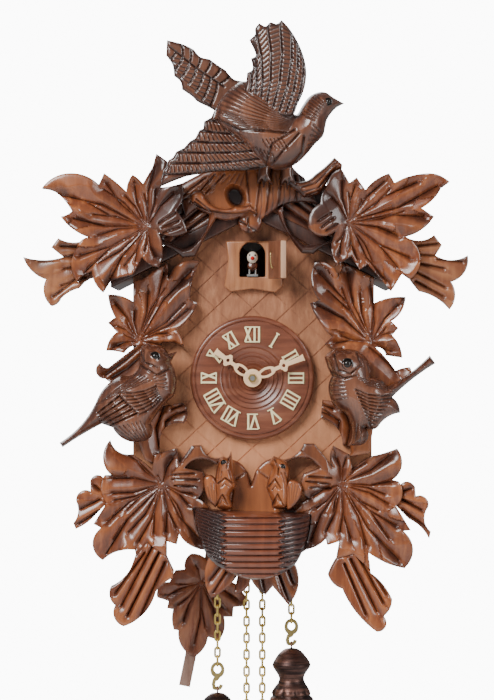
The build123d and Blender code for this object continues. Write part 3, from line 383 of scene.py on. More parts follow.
def build(name, verts, faces, mat, body="case", node=None, values=()):
    """A piece from its vertices and faces; values are (label, a number for each vertex)."""
    mesh = bpy.data.meshes.new(name)
    mesh.from_pydata(verts, [], faces)
    for label, numbers in values:
        mesh.attributes.new(label, "FLOAT", "POINT").data.foreach_set("value", np.array(numbers, np.float32))
    return finish_piece(name, mesh, mat, body, node)


def bands(count, turns, first=0, flip=False, wrap=False):
    """Quads between rings of turns vertices each; wrap joins the last ring to the first."""
    faces = []
    for j in range(count if wrap else count - 1):
        here, there = first + j * turns, first + (j + 1) % count * turns
        for k in range(turns):
            m = (k + 1) % turns
            a, b, c, d = here + k, here + m, there + m, there + k
            faces.append((a, b, c, d) if flip else (a, d, c, b))
    return faces


def slab(name, ring, back, height, step, lines=(), mat=LEAF, node=None, two_sided=False, body="case"):
    """A carved piece on an outline: points every step mm, and closer along the cuts in lines.

    height gives each point's mm in front of the back plane, and its cut value (stain and painted shade) and
    crest values."""
    rim_gap, side_row, cell_size, cut_gap = step * 0.45, step * 0.8, step * 0.36, step * 0.62
    ring = resample(ring, step)
    edge = np.array(ring)
    lo, hi = edge.min(0), edge.max(0)
    xs = np.arange(lo[0], hi[0], step)
    ys = np.arange(lo[1], hi[1], step * 0.87)
    grid = np.array([(x + (step / 2 if j % 2 else 0), y) for j, y in enumerate(ys) for x in xs])
    grid = grid[inside(grid, ring)]
    grid = grid[from_rim(grid, edge) > rim_gap]
    spine = []
    for line in lines:
        for a, b in zip(line, line[1:]):
            size = math.dist(a, b)
            n = max(2, int(size / (step * 0.6)))
            dx, dw = b[0] - a[0], b[1] - a[1]
            nx, nw = -dw / max(size, 1e-6), dx / max(size, 1e-6)
            for off in (0.0, side_row, -side_row):
                spine += [(a[0] + dx * k / n + nx * off, a[1] + dw * k / n + nw * off) for k in range(n)]
    if spine:
        spine = np.array(spine)
        spine = spine[inside(spine, ring)]
        spine = spine[from_rim(spine, edge) > rim_gap]
        kept = []
        cells = set()
        for point in spine:
            cell = (int(point[0] // cell_size), int(point[1] // cell_size))
            if cell not in cells:
                cells.add(cell)
                kept.append(point)
        spine = np.array(kept)
        if len(spine) and len(grid):
            far = np.concatenate([np.sqrt(((part[:,
                None] - spine[None]) ** 2).sum(-1)).min(1) for part in np.array_split(grid,
                max(1, len(grid) // 1500))])
            grid = grid[far > cut_gap]
        grid = np.vstack([grid, spine]) if len(spine) else grid
    flat = [Vector(p) for p in ring] + [Vector((float(p[0]), float(p[1]))) for p in grid]
    verts, _, faces, *_ = delaunay_2d_cdt(flat, [], [list(range(len(ring)))], 1, 1e-5)
    pts = np.array([tuple(v) for v in verts])
    up, cut, crest = height(pts, edge)
    total = len(pts)
    seam = {}
    for f in faces:
        for a, b in zip(f, list(f[1:]) + [f[0]]):
            if (b, a) in seam:
                del seam[(b, a)]
            else:
                seam[(a, b)] = True
    out_v = [metres(x, back - h, w) for (x, w), h in zip(pts, up)]
    out_v += [metres(x, back + h if two_sided else back, w) for (x, w), h in zip(pts, up)]
    out_f = [tuple(f) for f in faces] + [tuple(total + v for v in reversed(f)) for f in faces]
    out_f += [(b, a, total + a, total + b) for a, b in seam]
    back_cut, back_crest = (cut, crest) if two_sided else (np.full(total, 0.25), np.zeros(total))
    return build(name, out_v, out_f, mat, body, node, [("cut", np.concatenate([cut, back_cut])),
        ("crest", np.concatenate([crest, back_crest]))])


def leaf_height(veins, thick, rise, groove=0.5, depth=0.75, roll=0.8, pleat=18.0, dark=None, gouges=(),
                hub=None, curl=3.0):
    """Carved leaf: fine cuts along the veins, and between them a broad face that ends in a short steep one.

    dark is (half width in mm, run-out in mm, amount): painted shade, heavier towards the middle of the clock."""
    segs = np.array([(a, b) for line in veins for a, b in zip(line, line[1:])], float)
    owner = np.array([i for i, line in enumerate(veins) for _ in line[1:]])
    cuts = np.array(gouges, float) if len(gouges) else None
    peak = 0.66

    def height(pts, edge):
        rows = np.arange(len(pts))
        rim = from_rim(pts, edge)
        dist, t = to_segments(pts, segs[:, 0], segs[:, 1])
        which = dist.argmin(1)
        near = dist[rows, which]
        others = np.where(owner[None] == owner[which][:, None], 1e3, dist)
        other = others.argmin(1)
        gap = near + np.minimum(others[rows, other], 60.0)
        run = segs[which, 1] - segs[which, 0]
        off = pts - segs[which, 0]
        left = run[:, 0] * off[:, 1] - run[:, 1] * off[:, 0] > 0
        share = near / np.maximum(gap, 1e-6)
        pair = owner[which] + owner[other]
        u = np.where(left, share, 1 - share)
        u = np.where(pair % 3 == 0, 1 - u, u)
        face = np.where(u < peak, u / peak, (1 - u) / (1 - peak))
        room = np.clip(gap / pleat, 0, 1)
        up = thick + rise * room * (1 - (1 - face) ** 1.7)
        # the steep face is darkened: stain that gathers by the cut, and painted shade where the face turns
        # from the light
        steep = np.clip((u - peak) / (1 - peak) * 1.6, 0, 1) * np.clip(gap / 10.0, 0, 1)
        tone = 0.5 + 0.5 * np.sin(pair * 3.7)
        fade = np.clip(1.15 - 0.5 * t[rows, which], 0.3, 1)
        hub_shade = 0.0
        if hub is not None:
            r = np.sqrt(((pts - np.array(hub)) ** 2).sum(1))
            fade = fade * np.clip(r / 15.0, 0.25, 1)
            steep = steep * np.clip(r / 12.0, 0.2, 1)
            up -= curl * (r / 70.0) ** 2
            up -= 1.0 * np.exp(-(r / 4.0) ** 2)
            # painted shade: darker towards the hub
            hub_shade = 0.26 * np.exp(-r / 15.0)
        line = np.exp(-(near / groove) ** 2)
        up -= depth * fade * line
        cut = 0.62 * fade * line + 0.5 * steep + 0.34 * tone * np.clip(gap / 6.0, 0, 1)
        if cuts is not None:
            d, tt = to_segments(pts, cuts[:, 0], cuts[:, 1])
            k = d.argmin(1)
            tt = tt[rows, k]
            d = d.min(1)
            width = 0.8 * np.sqrt(np.clip(1 - (2 * tt - 1) ** 2, 0.02, 1))
            hollow = np.exp(-(d / (width + 0.15)) ** 2)
            up -= 1.7 * hollow
            cut = np.maximum(cut, 0.75 * hollow)
        up -= roll * np.exp(-rim / 0.8)
        cut = cut + 0.35 * np.exp(-(rim / 0.5) ** 2) + hub_shade
        # painted shade, heavier towards the middle of the clock
        if dark:
            cut = cut + dark[2] * np.clip((dark[0] - np.abs(pts[:, 0])) / dark[1], 0, 1)
        cut = np.clip(cut, 0, 0.9)
        top = np.clip((face - 0.5) * 1.8, 0, 1) * room * (1 - cut)
        return np.maximum(up, 0.8), cut, top
    return height


def fan(hub, ends, bend=0.05):
    """Cuts from just off the hub to near each end, each bowed slightly."""
    lines = []
    for i, end in enumerate(ends):
        dx, dy = end[0] - hub[0], end[1] - hub[1]
        far = math.hypot(dx, dy)
        side = bend * (1 if i % 2 else -1)
        mid = (hub[0] + dx * 0.5 - dy * side, hub[1] + dy * 0.5 + dx * side)
        reach = max(0.5, 1 - 5.0 / far)
        lines.append([(hub[0] + dx * 0.09, hub[1] + dy * 0.09), mid,
            (hub[0] + dx * reach, hub[1] + dy * reach)])
    return lines


LEAVES = {
    "crown_leaf_left": ((-67, 96), [
        (-126, 118), (-112, 115), (-98, 123), (-119, 102), (-106, 105), (-96, 127), (-84, 120), (-76, 127),
        (-69, 122), (-61, 140), (-60, 125), (-47, 121), (-103, 90), (-114, 76), (-110, 65), (-102, 70),
        (-94, 57), (-84, 67), (-76, 69), (-69, 76), (-60, 72)],
        [((-60, 98), (-48, 105)), ((-58, 95), (-46, 100)), ((-57, 92), (-45, 96))]),
    "crown_leaf_right": ((61, 99), [
        (122, 124), (109, 127), (91, 123), (114, 103), (101, 107), (87, 129), (72, 118), (66, 127),
        (61, 123), (56, 130), (47, 119), (97, 89), (104, 74), (96, 67), (88, 57), (79, 69),
        (68, 70), (62, 78), (54, 74), (51, 82)],
        [((41, 99), (50, 105)), ((43, 95), (52, 102)), ((46, 93), (54, 98))]),
    "side_leaf_left": ((-73, 24), [
        (-55, 73), (-54, 62), (-66, 60), (-36, 73), (-40, 51), (-76, 48), (-91, 52), (-84, 42),
        (-91, 36), (-87, 30), (-92, 19), (-82, 21), (-37, 47), (-50, 30), (-46, 21)], []),
    "side_leaf_right": ((76, 23), [
        (40, 71), (55, 62), (45, 60), (59, 72), (76, 63), (68, 60), (78, 47), (96, 51),
        (89, 36), (92, 31), (94, 15), (86, 18), (38, 49), (52, 28), (48, 22)], []),
    "lower_leaf_left": ((-58, -68), [
        (-90, -43), (-78, -50), (-94, -64), (-95, -75), (-64, -58), (-49, -47), (-33, -76), (-37, -84),
        (-31, -108), (-41, -97), (-47, -101), (-55, -104), (-64, -105), (-75, -110), (-97, -117), (-82, -103),
        (-97, -95), (-93, -80), (-85, -88)],
        [((-53, -62), (-36, -61)), ((-52, -65), (-34, -65)), ((-50, -69), (-35, -70))]),
    "lower_leaf_right": ((57, -68), [
        (92, -47), (76, -51), (94, -66), (90, -76), (53, -46), (61, -47), (34, -78), (37, -87),
        (35, -109), (46, -103), (51, -91), (56, -104), (64, -108), (75, -112), (97, -121), (91, -107),
        (96, -98), (92, -83), (85, -88)],
        [((35, -63), (51, -64)), ((34, -66), (50, -68)), ((36, -70), (51, -71))]),
}
BRANCH_CUTS = {
    "side_leaf_left": [
        [(-94, 2), (-82, 11), (-70, 21)], [(-90, 0), (-80, 6), (-68, 17)],
        [(-60, -46), (-62, -32), (-56, -16)], [(-55, -40), (-56, -28), (-48, -22)],
        [(-52, -20), (-42, -16)], [(-51, -24), (-42, -21)]],
    "side_leaf_right": [
        [(92, 4), (84, 12), (74, 20)], [(96, 8), (86, 16)], [(60, -46), (63, -32), (58, -16)],
        [(54, -40), (56, -28), (46, -20)], [(52, -20), (44, -17)], [(52, -25), (45, -22)]],
}
LEAF_FRONT = {  # plane of the face, back plane, painted shade towards the middle
    "crown": (-122, -106, (74, 24, 0.5)), "side": (-104, PANEL, (62, 22, 0.3)),
    "lower": (-104, PANEL, (54, 22, 0.42)),
}
for name, (hub, ends, gouges) in LEAVES.items():
    front, back, dark = LEAF_FRONT[name.split("_")[0]]
    ring = face_loops(name, front)[0]
    veins = fan(hub, ends) + BRANCH_CUTS.get(name, [])
    slab("carved_" + name, ring, back, leaf_height(veins, 9.0, 5.6, dark=dark, gouges=gouges, hub=hub), 0.8,
        veins, node=name)

SPRAYS = [  # piece, node, plane of its face, back plane, mm; what leaf_height takes; material, cuts
    ("bud_crown_leaf_left", "crown_leaf_left", -106, -98, (6.2, 1.2, 0.75, 1.6, 0.9, 8), BUD, [
        ((-104, 83), (-122, 84)), ((-102, 77), (-119, 77)), ((-102, 72), (-120, 70)),
        ((-102, 66), (-122, 59)), ((-110, 79), (-136, 75)), ((-112, 64), (-127, 52))]),
    ("bud_crown_leaf_right", "crown_leaf_right", -106, -98, (6.2, 1.2, 0.75, 1.6, 0.9, 8), BUD, [
        ((102, 84), (118, 86)), ((102, 79), (119, 78)), ((102, 74), (122, 70)), ((102, 69), (123, 58)),
        ((118, 76), (134, 74)), ((104, 62), (122, 52))]),
    ("tail_left", "lower_leaf_left", -102, PANEL, (10.6, 2.2, 0.65, 1.5, 1.0, 6), LEAF, [
        ((-64, -108), (-84, -146)), ((-60, -112), (-80, -152)), ((-56, -118), (-72, -153)),
        ((-69, -112), (-88, -138))]),
    ("outer_left", "lower_leaf_left", -98, PANEL, (7.3, 1.8, 0.65, 1.4, 0.9, 6), LEAF, [
        ((-99, -86), (-112, -94)), ((-98, -78), (-110, -84)), ((-98, -72), (-101, -69))]),
    ("tail_right", "lower_leaf_right", -102, PANEL, (10.6, 2.2, 0.65, 1.5, 1.0, 6), LEAF, [
        ((68, -114), (84, -144)), ((63, -116), (80, -150)), ((59, -119), (73, -152)),
        ((72, -116), (86, -139))]),
    ("outer_right", "lower_leaf_right", -98, PANEL, (7.3, 1.8, 0.65, 1.4, 0.9, 6), LEAF, [
        ((96, -85), (111, -95)), ((96, -78), (109, -85)), ((96, -73), (102, -71))]),
]
for name, node, front, back, cutting, mat, cuts in SPRAYS:
    slab("carved_" + name, face_loops(node, front)[0], back, leaf_height(cuts, *cutting), 0.7, cuts, mat)


# ---- outlines of the rounded carvings, in mm
def smooth(points, parts=6, sharp=()):
    """A soft closed curve through the points; corners named in sharp stay sharp."""
    ring = []
    n = len(points)
    for i in range(n):
        p0, p1, p2, p3 = (points[(i + k - 1) % n] for k in range(4))
        if i in sharp:
            p0 = p1
        if (i + 1) % n in sharp:
            p3 = p2
        for k in range(parts):
            t = k / parts
            ring.append(tuple(0.5 * (2 * b + (c - a) * t + (2 * a - 5 * b + 4 * c - d) * t * t
                                     + (3 * b - a - 3 * c + d) * t ** 3)
                              for a, b, c, d in zip(p0, p1, p2, p3)))
    return ring


def round_height(thick, bulge, reach, cuts=(), depth=1.2, width=0.9, fine=(), stain=0.9, bumps=(),
                 fine_depth=0.45, tone=0.0, fine_width=0.42):
    """A swelling body, bulge mm proud at reach mm from its outline, with broad cuts and fine hatching."""
    def grooves(pts, lines, breadth):
        segs = np.array([(a, b) for line in lines for a, b in zip(line, line[1:])], float)
        dist, t = to_segments(pts, segs[:, 0], segs[:, 1])
        which = dist.argmin(1)
        rows = np.arange(len(pts))
        return np.exp(-(dist[rows, which] / breadth) ** 2) * np.sqrt(np.clip(1.1 - 0.6 * t[rows, which], 0,
            1))

    def height(pts, edge):
        rim = from_rim(pts, edge)
        full = np.clip(rim / reach, 0, 1)
        up = thick + bulge * np.sqrt(np.clip(1 - (1 - full) ** 2, 0, 1))
        cut = np.zeros(len(pts))
        for x, w, r, tall in bumps:
            up += tall * np.exp(-(((pts[:, 0] - x) ** 2 + (pts[:, 1] - w) ** 2) / r ** 2)) * np.clip(rim / 3,
                0, 1)
        for lines, breadth, deep, dark in ((cuts, width, depth, stain), (fine, fine_width, fine_depth, 0.7)):
            if len(lines):
                groove = grooves(pts, lines, breadth)
                up -= deep * groove * np.clip(rim / 1.0, 0.2, 1)
                cut = np.maximum(cut, dark * groove)
        # tone darkens the whole piece evenly: painted shade
        cut = np.clip(cut + tone + 0.35 * np.exp(-(rim / 0.8) ** 2), 0, 0.94)
        top = np.clip(full - 0.2, 0, 1) * (1 - cut)
        return np.maximum(up, 0.5), cut, top
    return height


def along(path, t):
    """The point at a share t of the way along a bent path."""
    lengths = [math.dist(a, b) for a, b in zip(path, path[1:])]
    left = t * sum(lengths)
    for a, b, size in zip(path, path[1:], lengths):
        if left <= size or b is path[-1]:
            u = left / size if size else 0
            return a[0] + (b[0] - a[0]) * u, a[1] + (b[1] - a[1]) * u
        left -= size


def hatch(first, last, count, bow=0.0):
    """Cuts from one path to another, evenly spread, each bowed sideways by a share of its length."""
    lines = []
    for k in range(count):
        t = k / max(1, count - 1)
        a, b = along(first, t), along(last, t)
        dx, dy = b[0] - a[0], b[1] - a[1]
        bent = [(a[0] + dx * u - dy * bow * 0.9, a[1] + dy * u + dx * bow * 0.9) for u in (0.33, 0.67)]
        lines.append([a, *bent, b])
    return lines


def barbs(lines, spacing, lean=0.45):
    """Fine strokes from each feather cut towards the next one, leaning along the feather."""
    short = []
    for one, two in zip(lines, lines[1:]):
        count = int(sum(math.dist(a, b) for a, b in zip(one, one[1:])) / spacing)
        for k in range(count):
            t = (k + 0.5) / count
            a = along(one, t)
            b = along(two, min(1.0, t + lean * spacing * 2.2 / max(1.0, spacing * count)))
            short.append([(a[0] + (b[0] - a[0]) * 0.18, a[1] + (b[1] - a[1]) * 0.18),
                (a[0] + (b[0] - a[0]) * 0.85, a[1] + (b[1] - a[1]) * 0.85)])
    return short


def eye(name, x, w, radius, socket, carving):
    """Glass-bright eye in its carved socket ring, set socket mm into a carving's front."""
    verts = carving.data.vertices
    near = sorted(verts, key=lambda v: (v.co.x * 1000 - x) ** 2 + (v.co.z * 1000 - DIAL_Z - w) ** 2)[:8]
    y = min(v.co.y for v in near) * 1000 + socket
    turns, rings, bulge = 20, 9, 0.7
    quarter = [math.pi / 2 * k / rings for k in range(1, rings + 1)]
    profile = [(radius * math.sin(a), -radius * bulge * math.cos(a)) for a in quarter]
    profile += [(radius * 1.12, 0.1 * radius), (radius * 1.3, -0.12 * radius), (radius * 1.5, 0.0),
        (radius * 1.55, 0.5 * radius)]
    verts = [metres(x, y - radius * bulge, w)]
    for r, dy in profile:
        for k in range(turns):
            a = 2 * math.pi * k / turns
            verts.append(((x + r * math.cos(a)) / 1000, (y + dy) / 1000,
                (w + DIAL_Z + r * math.sin(a)) / 1000))
    cap = [(0, 1 + k, 1 + (k + 1) % turns) for k in range(turns)]
    build(name, verts, cap + bands(len(profile), turns, 1), BLACK)


# crown board with its oval hole, swag and perch
board_cuts = [[(-30, 128), (-44, 117)], [(-24, 130), (-40, 112)], [(-18, 130), (-30, 118)],
    [(6, 134), (2, 104)], [(12, 134), (9, 106)], [(19, 133), (17, 111)], [(27, 129), (29, 112)],
    [(-4, 134), (-2, 112)], [(-9, 101), (2, 94)], [(-3, 102), (-2, 91)]]
board_fine = hatch([(-34, 122), (-20, 131)], [(-46, 113), (-27, 118)], 6, 0.05)
board_fine += hatch([(3, 131), (30, 130)], [(4, 100), (30, 112)], 8, 0.08)
board_fine += hatch([(-14, 130), (-2, 131)], [(-20, 124), (-4, 122)], 5)


def board_height(pts, edge):
    up, cut, top = round_height(4.5, 3.2, 9, board_cuts, 1.4, 0.7, board_fine)(pts, edge)
    # painted shade: darker towards the board's outer parts and along its lower edge
    outer = np.clip((np.abs(pts[:, 0] + 12) - 14) / 16, 0, 1)
    cut = np.clip(cut + 0.5 * outer + 0.4 * np.clip((106 - pts[:, 1]) / 10, 0, 1), 0, 0.92)
    turn = math.radians(25)
    dx, dw = pts[:, 0] + 11, pts[:, 1] - 116
    a = (dx * math.cos(turn) + dw * math.sin(turn)) / 6.2
    b = (-dx * math.sin(turn) + dw * math.cos(turn)) / 8.2
    far = np.sqrt(a * a + b * b)
    pit = np.clip((1.05 - far) / 0.45, 0, 1)
    up = up * (1 - pit) + 0.8 * pit
    # the hole's floor is coloured dark: painted shade in the hole
    return up, np.maximum(cut, np.clip((pit - 0.35) * 1.8, 0, 1)), top * (1 - pit)


slab("carved_crown_board", face_loops("crown_board", -98, 1)[0], -98, board_height, 0.6, node="crown_board")
# the swag and perch are darkened through tone: painted shade
swag_cuts = [[(-36, 114), (-26, 106), (-14, 104)], [(-37, 112), (-28, 105), (-18, 102.5)]]
slab("carved_swag", face_loops("crown_board", -115)[0], -106,
     round_height(4.5, 4.0, 3.5, swag_cuts, 1.2, 0.6, tone=0.2), 0.6)
perch_cuts = [[(20, 129), (30, 121), (40, 124), (53, 137)], [(22, 126), (32, 118), (42, 121), (54, 135)],
    [(24, 122), (34, 116), (42, 119)]]
slab("carved_perch", face_loops("crown_board", -117)[0], -106,
     round_height(5.5, 5.0, 5, perch_cuts, 1.1, 0.7, tone=0.15), 0.6)
# dark carved ground behind the crown leaves, from the crown board down to the roof, and beside the nest: its
# dark colour is painted shade in these recesses
for side in (-1, 1):
    shoulder = [(47, 111), (38, 117)] if side < 0 else [(52, 111), (50, 119), (45, 127), (36, 126)]
    ground = [(8, 101), (30, 97), (61, 83.5), (60, 92), (54, 101), *shoulder, (22, 121), (8, 122)]
    folds = [[(20, 119), (34, 108), (56, 90)], [(14, 114), (30, 103), (50, 89)],
        [(30, 118), (42, 108), (57, 95)]]
    ground, *folds = [[(side * x, w) for x, w in line] for line in (ground, *folds)]
    slab(f"crown_ground_{side + 1}", ground, -94.5,
         leaf_height(folds, 1.6, 1.6, 0.6, 0.7, 0.4, 6, (90, 4, 0.42)), 1.0, folds)
# a small dark patch behind the left bud: painted shade
slab("bud_ground", [(-113, 62.5), (-108, 61), (-104, 63.5), (-99, 65), (-100, 71), (-111, 69.5)], -98,
     leaf_height([[(-112, 66), (-101, 68)]], 4.0, 0.6, 0.5, 0.5, 0.5, 6, (200, 4, 0.25)), 0.8)
slab("nest_ground", [(20, -84), (42, -84), (41, -96), (37, -109), (28, -115), (18, -112)], PANEL,
     leaf_height([[(40, -86), (36, -107)]], 4.0, 0.8, 0.6, 0.8, 0.6, 6, (90, 4, 0.35)), 1.0)

# boards behind the nest
chest = [[(-14, -84), (-12, -66), (-3, -60)], [(14, -84), (12, -66), (4, -60)], [(0, -58), (0, -64)]]
plates = face_loops("nest_board", -94)
plates.sort(key=lambda ring: -max(w for _, w in ring))
slab("carved_nest_board", plates[0], PANEL, round_height(4.2, 1.6, 3, chest, 0.9, 0.6), 0.8,
    node="nest_board")
sprig_cuts = [[(-12, -117), (-25, -138)], [(-18, -118), (-27, -130)], [(-8, -118), (-11, -136)],
    [(4, -118), (8, -137)], [(14, -118), (23, -143)], [(20, -116), (26, -132)]]
if len(plates) > 1:
    slab("carved_sprig", plates[1], PANEL, leaf_height(sprig_cuts, 4.4, 1.6, 0.6, 1.2, 0.8, 6), 0.7,
        sprig_cuts)

# pendulum leaf
pendulum_veins = fan((-34, -137), [(-40, -121), (-30, -131), (-14, -139), (-5, -151), (-16, -159),
    (-21, -174), (-31, -172), (-39, -184), (-48, -168), (-53, -156), (-61, -148), (-54, -139)], 0.04)
slab("carved_pendulum_leaf", face_loops("pendulum_leaf", -31)[0], -24,
     leaf_height(pendulum_veins, 4.9, 1.6, 0.5, 0.9, 0.7, 8, hub=(-34, -137), curl=1.0), 0.7, pendulum_veins,
     PENDULUM, "pendulum_leaf", body="pendulum")

# side birds
quills_l = hatch([(-84, -11), (-73, -22)], [(-98, -22), (-95, -32)], 9)
cover_l = hatch([(-61, -5), (-58, -13)], [(-84, -9), (-72, -23)], 7, 0.08)
mantle_l = hatch([(-73, 3), (-64, -1)], [(-99, -17), (-86, -10)], 5)
belly_l = hatch([(-87, -31), (-71, -27)], [(-75, -41), (-66, -38)], 7)
throat_l = hatch([(-56, 5), (-54, -6)], [(-63, 1), (-61, -5)], 5)
head_l = [[(-72, 18), (-68, 10), (-60, 7)], [(-71, 8), (-60, 2), (-53, 6)], [(-56, 16), (-50, 11)]]
bird_l = slab("carved_bird_left", face_loops("side_bird_left", -124)[0], -104,
    round_height(4.0, 11.5, 12, quills_l[::2] + cover_l + head_l + [[(-84, -11), (-72, -23)]], 1.3, 0.7,
    quills_l + mantle_l + belly_l + throat_l, bumps=[(-76, -8, 10, 3.0), (-63, 13, 8, 3.5),
    (-86, -20, 8, 1.5)], fine_depth=0.8), 0.5, quills_l + cover_l + head_l, BIRD, "side_bird_left")
quills_r = hatch([(65, -7), (74, -28)], [(90, -10), (76, -32)], 10, -0.1)
throat_r = hatch([(48, 2), (52, -14)], [(57, 0), (60, -12)], 6)
mantle_r = hatch([(68, 0), (72, -4)], [(88, -4), (92, -9)], 4)
head_r = [[(52, 15), (54, 5), (62, 3), (68, 8)], [(50, 4), (58, 0), (66, 2)], [(66, 16), (69, 8)]]
belly_r = hatch([(60, -26), (70, -30)], [(60, -38), (68, -40)], 4)
bird_r = slab("carved_bird_right", face_loops("side_bird_right", -124)[0], -104,
    round_height(4.0, 11.5, 12, quills_r + head_r, 1.3, 0.7, throat_r + mantle_r + belly_r,
    bumps=[(74, -8, 10, 3.0), (59, 9, 8, 3.5)], fine_depth=0.8), 0.5, quills_r + head_r, BIRD,
    "side_bird_right")
eye("eye_left", -61.6, 13.9, 2.1, 0.6, bird_l)
eye("eye_right", 59.9, 9.2, 2.5, 0.6, bird_r)

# large bird on the crown
BIRD_MID = -132  # y of the middle of its body, mm
bird_ring = smooth([(57.5, 172.5), (52, 169.5), (47, 163), (45.5, 157), (44, 152), (39, 147), (35, 142),
    (29, 136), (22, 132), (15, 131), (8, 134), (1, 141), (-7, 149), (-17, 156), (-25, 163), (-22, 172),
    (-15, 181), (-6, 186.5), (4, 184), (14, 177.5), (22, 171), (27, 165.5), (31, 171), (35, 176.5),
    (40.5, 179.5), (46, 179.5), (50.5, 176.5)], 5, sharp=(0, 14))
cover_edge = [(-9, 187), (-21, 180), (-24, 168), (-9, 157), (8, 156)]
mantle = hatch([(27, 163), (21, 152)], cover_edge, 18, 0.05)
lobe = [[(26, 155), (12, 146), (8, 133)], [(32, 151), (31, 141), (24, 133)],
    [(29, 153), (19, 142), (12, 134)]]
rim_cut = [[(21, 153), (8, 154), (-8, 155), (-22, 162)]]
flank = hatch([(6, 149), (18, 150)], [(10, 143), (22, 143)], 6) + hatch([(2, 144), (12, 141)],
    [(6, 138), (14, 136)], 5)
nape = hatch([(31, 165), (39, 177)], [(38, 161), (45, 171)], 8)
breast = hatch([(38, 158), (34, 143)], [(43, 154), (38, 146)], 6)
crown_body = slab("crown_bird_body", bird_ring, BIRD_MID, round_height(0.5, 13.5, 15, lobe + rim_cut, 1.6,
    0.8, mantle + flank + nape + breast, bumps=[(44, 171, 6, 1.5), (2, 168, 14, 2.5)], fine_depth=0.95,
    fine_width=0.5), 0.5, lobe + rim_cut + mantle, BIRD, "crown_bird", True)
eye("crown_eye_front", 47.0, 172.6, 1.7, 0.5, crown_body)
legs = [[(8, 136), (8, 128)], [(22, 136), (23, 127)]]
for i, ((x0, w0), (x1, w1)) in enumerate(legs):
    claw = smooth([(x0 - 3, w0), (x0 + 3, w0), (x1 + 2.5, w1 + 2), (x1 + 5, w1 - 5), (x1 + 1, w1 - 2.5),
        (x1 - 1, w1 - 7), (x1 - 2, w1 - 2), (x1 - 5, w1 - 4)], 3)
    slab(f"claw_{i}", claw, -106, round_height(9, 3, 3, [[(x1, w1), (x1, w1 - 5)]], 1.0, 0.6), 0.6, mat=BIRD)

far_ring = smooth([(-6, 187.5), (-12, 189), (-17, 194.5), (-23, 198.5), (-27, 201.5), (-33, 203),
    (-37, 207.5), (-44, 211), (-54, 213.5), (-54.5, 204), (-50.5, 198), (-49.5, 191), (-45.5, 187.5),
    (-44.5, 182.5), (-38, 178), (-35, 175), (-29, 172), (-20, 168), (-12, 172)], 4,
    sharp=(0, 2, 4, 6, 8, 9, 11, 13))
far_lines = [[(-18, 184), (-36, 196), (-52, 209)]]
far_lines += hatch([(-22, 186), (-48, 206)], [(-27, 171), (-54, 199)], 7, 0.05)
far_lines += hatch([(-20, 186), (-44, 204)], [(-14, 191), (-45, 211)], 6, -0.05)
# the wings are darkened through tone: painted shade
slab("crown_wing_far", far_ring, -122,
     round_height(1.0, 2.0, 3, far_lines, 1.0, 0.6, barbs(far_lines[1:8], 2.6), tone=0.4), 0.5, far_lines,
     BIRD, "crown_wing_left", True)
near_ring = smooth([(-4, 176), (-4, 184), (-3.5, 190.5), (0, 193), (-1, 199.5), (2, 202), (-2, 211),
    (1.5, 214.5), (1.5, 218), (4, 221.5), (8, 219.5), (11, 222), (15, 221), (18, 223.5), (23, 218),
    (28, 210), (32, 200), (33.5, 190), (32, 180), (28, 171), (24, 164), (10, 166)], 4,
    sharp=(2, 4, 6, 9, 13))
near_lines = hatch([(-2, 176), (8, 168), (25, 165)], [(-2, 199), (1, 214), (7, 220), (15, 222), (25, 215),
    (32, 200)], 8, -0.06)
slab("crown_wing_near", near_ring, -143,
     round_height(1.0, 2.0, 3, near_lines, 1.1, 0.6, barbs(near_lines, 2.7), tone=0.46), 0.5, near_lines,
     BIRD, "crown_wing_right", True)
tail_ring = [(-58, 120.5), (-57, 126), (-56, 130.5), (-54, 133), (-53, 137), (-50, 139), (-48, 142.5),
    (-43, 145), (-39.5, 149), (-36, 151), (-33.5, 156), (-31, 157), (-30.5, 161.5), (-26, 164), (-24, 168.5),
    (-8, 166), (4, 150), (12, 134), (2, 131), (-14, 130.5), (-28, 129.5), (-42, 127), (-50, 124)]
tail_lines = hatch([(8, 133), (-6, 158)], [(-56, 128), (-30, 163)], 6, 0.02)
# the tail is darkened through tone: painted shade
slab("crown_tail", tail_ring, -130,
     round_height(1.2, 3.0, 4, tail_lines, 1.6, 0.8, barbs(tail_lines, 2.9, 0.9), fine_depth=0.8, tone=0.34),
     0.5, tail_lines, BIRD, None, True)

# nest and chicks
nest_ring = smooth([(-38, -83), (-20, -84.5), (0, -85.5), (20, -86), (37, -87), (36, -96), (33.5, -106),
    (29, -116), (24, -121), (16, -125.5), (6, -128), (-4, -127.5), (-14, -124), (-24, -118), (-30, -111),
    (-34, -101), (-37, -92)], 4, sharp=(0, 4))


def nest_height(pts, edge):
    rim = from_rim(pts, edge)
    x, w = pts[:, 0], pts[:, 1]
    belly = np.sqrt(np.clip(1 - (x / 37.6) ** 2, 0.02, 1)) * np.sqrt(np.clip(1 - ((w + 92) / 46) ** 2, 0.02,
        1))
    up = 4 + 27 * belly
    side_on = np.clip((np.abs(x) - 18 - 2.2 * np.sin(w * 1.55)) / 0.8, 0, 1)
    side_row, slant = np.where(x < 0, 2.1, 3.3), np.where(x < 0, 0.34, 0.14)
    row = (w + 84) / 4.0
    row_side = (w + 84 - (np.abs(x) - 18) * slant) / side_row + 0.03 * np.sin(x * 0.9)
    phase = np.where(side_on > 0.5, row_side, row)
    to_cut = np.abs(phase - np.round(phase)) * np.where(side_on > 0.5, side_row, 4.0)
    groove = np.exp(-(to_cut / 0.55) ** 2)
    up -= 1.2 * groove + 1.0 * side_on
    cut = 0.85 * groove + np.where(x < 0, 0.62, 0.5) * side_on
    up = np.where(rim < 1.6, up * (0.8 + 0.2 * rim / 1.6), up)
    cut = np.clip(cut + 0.2 * np.exp(-(rim / 0.8) ** 2), 0, 0.95)
    return np.maximum(up, 1), cut, (1 - groove) * (1 - side_on) * 0.8


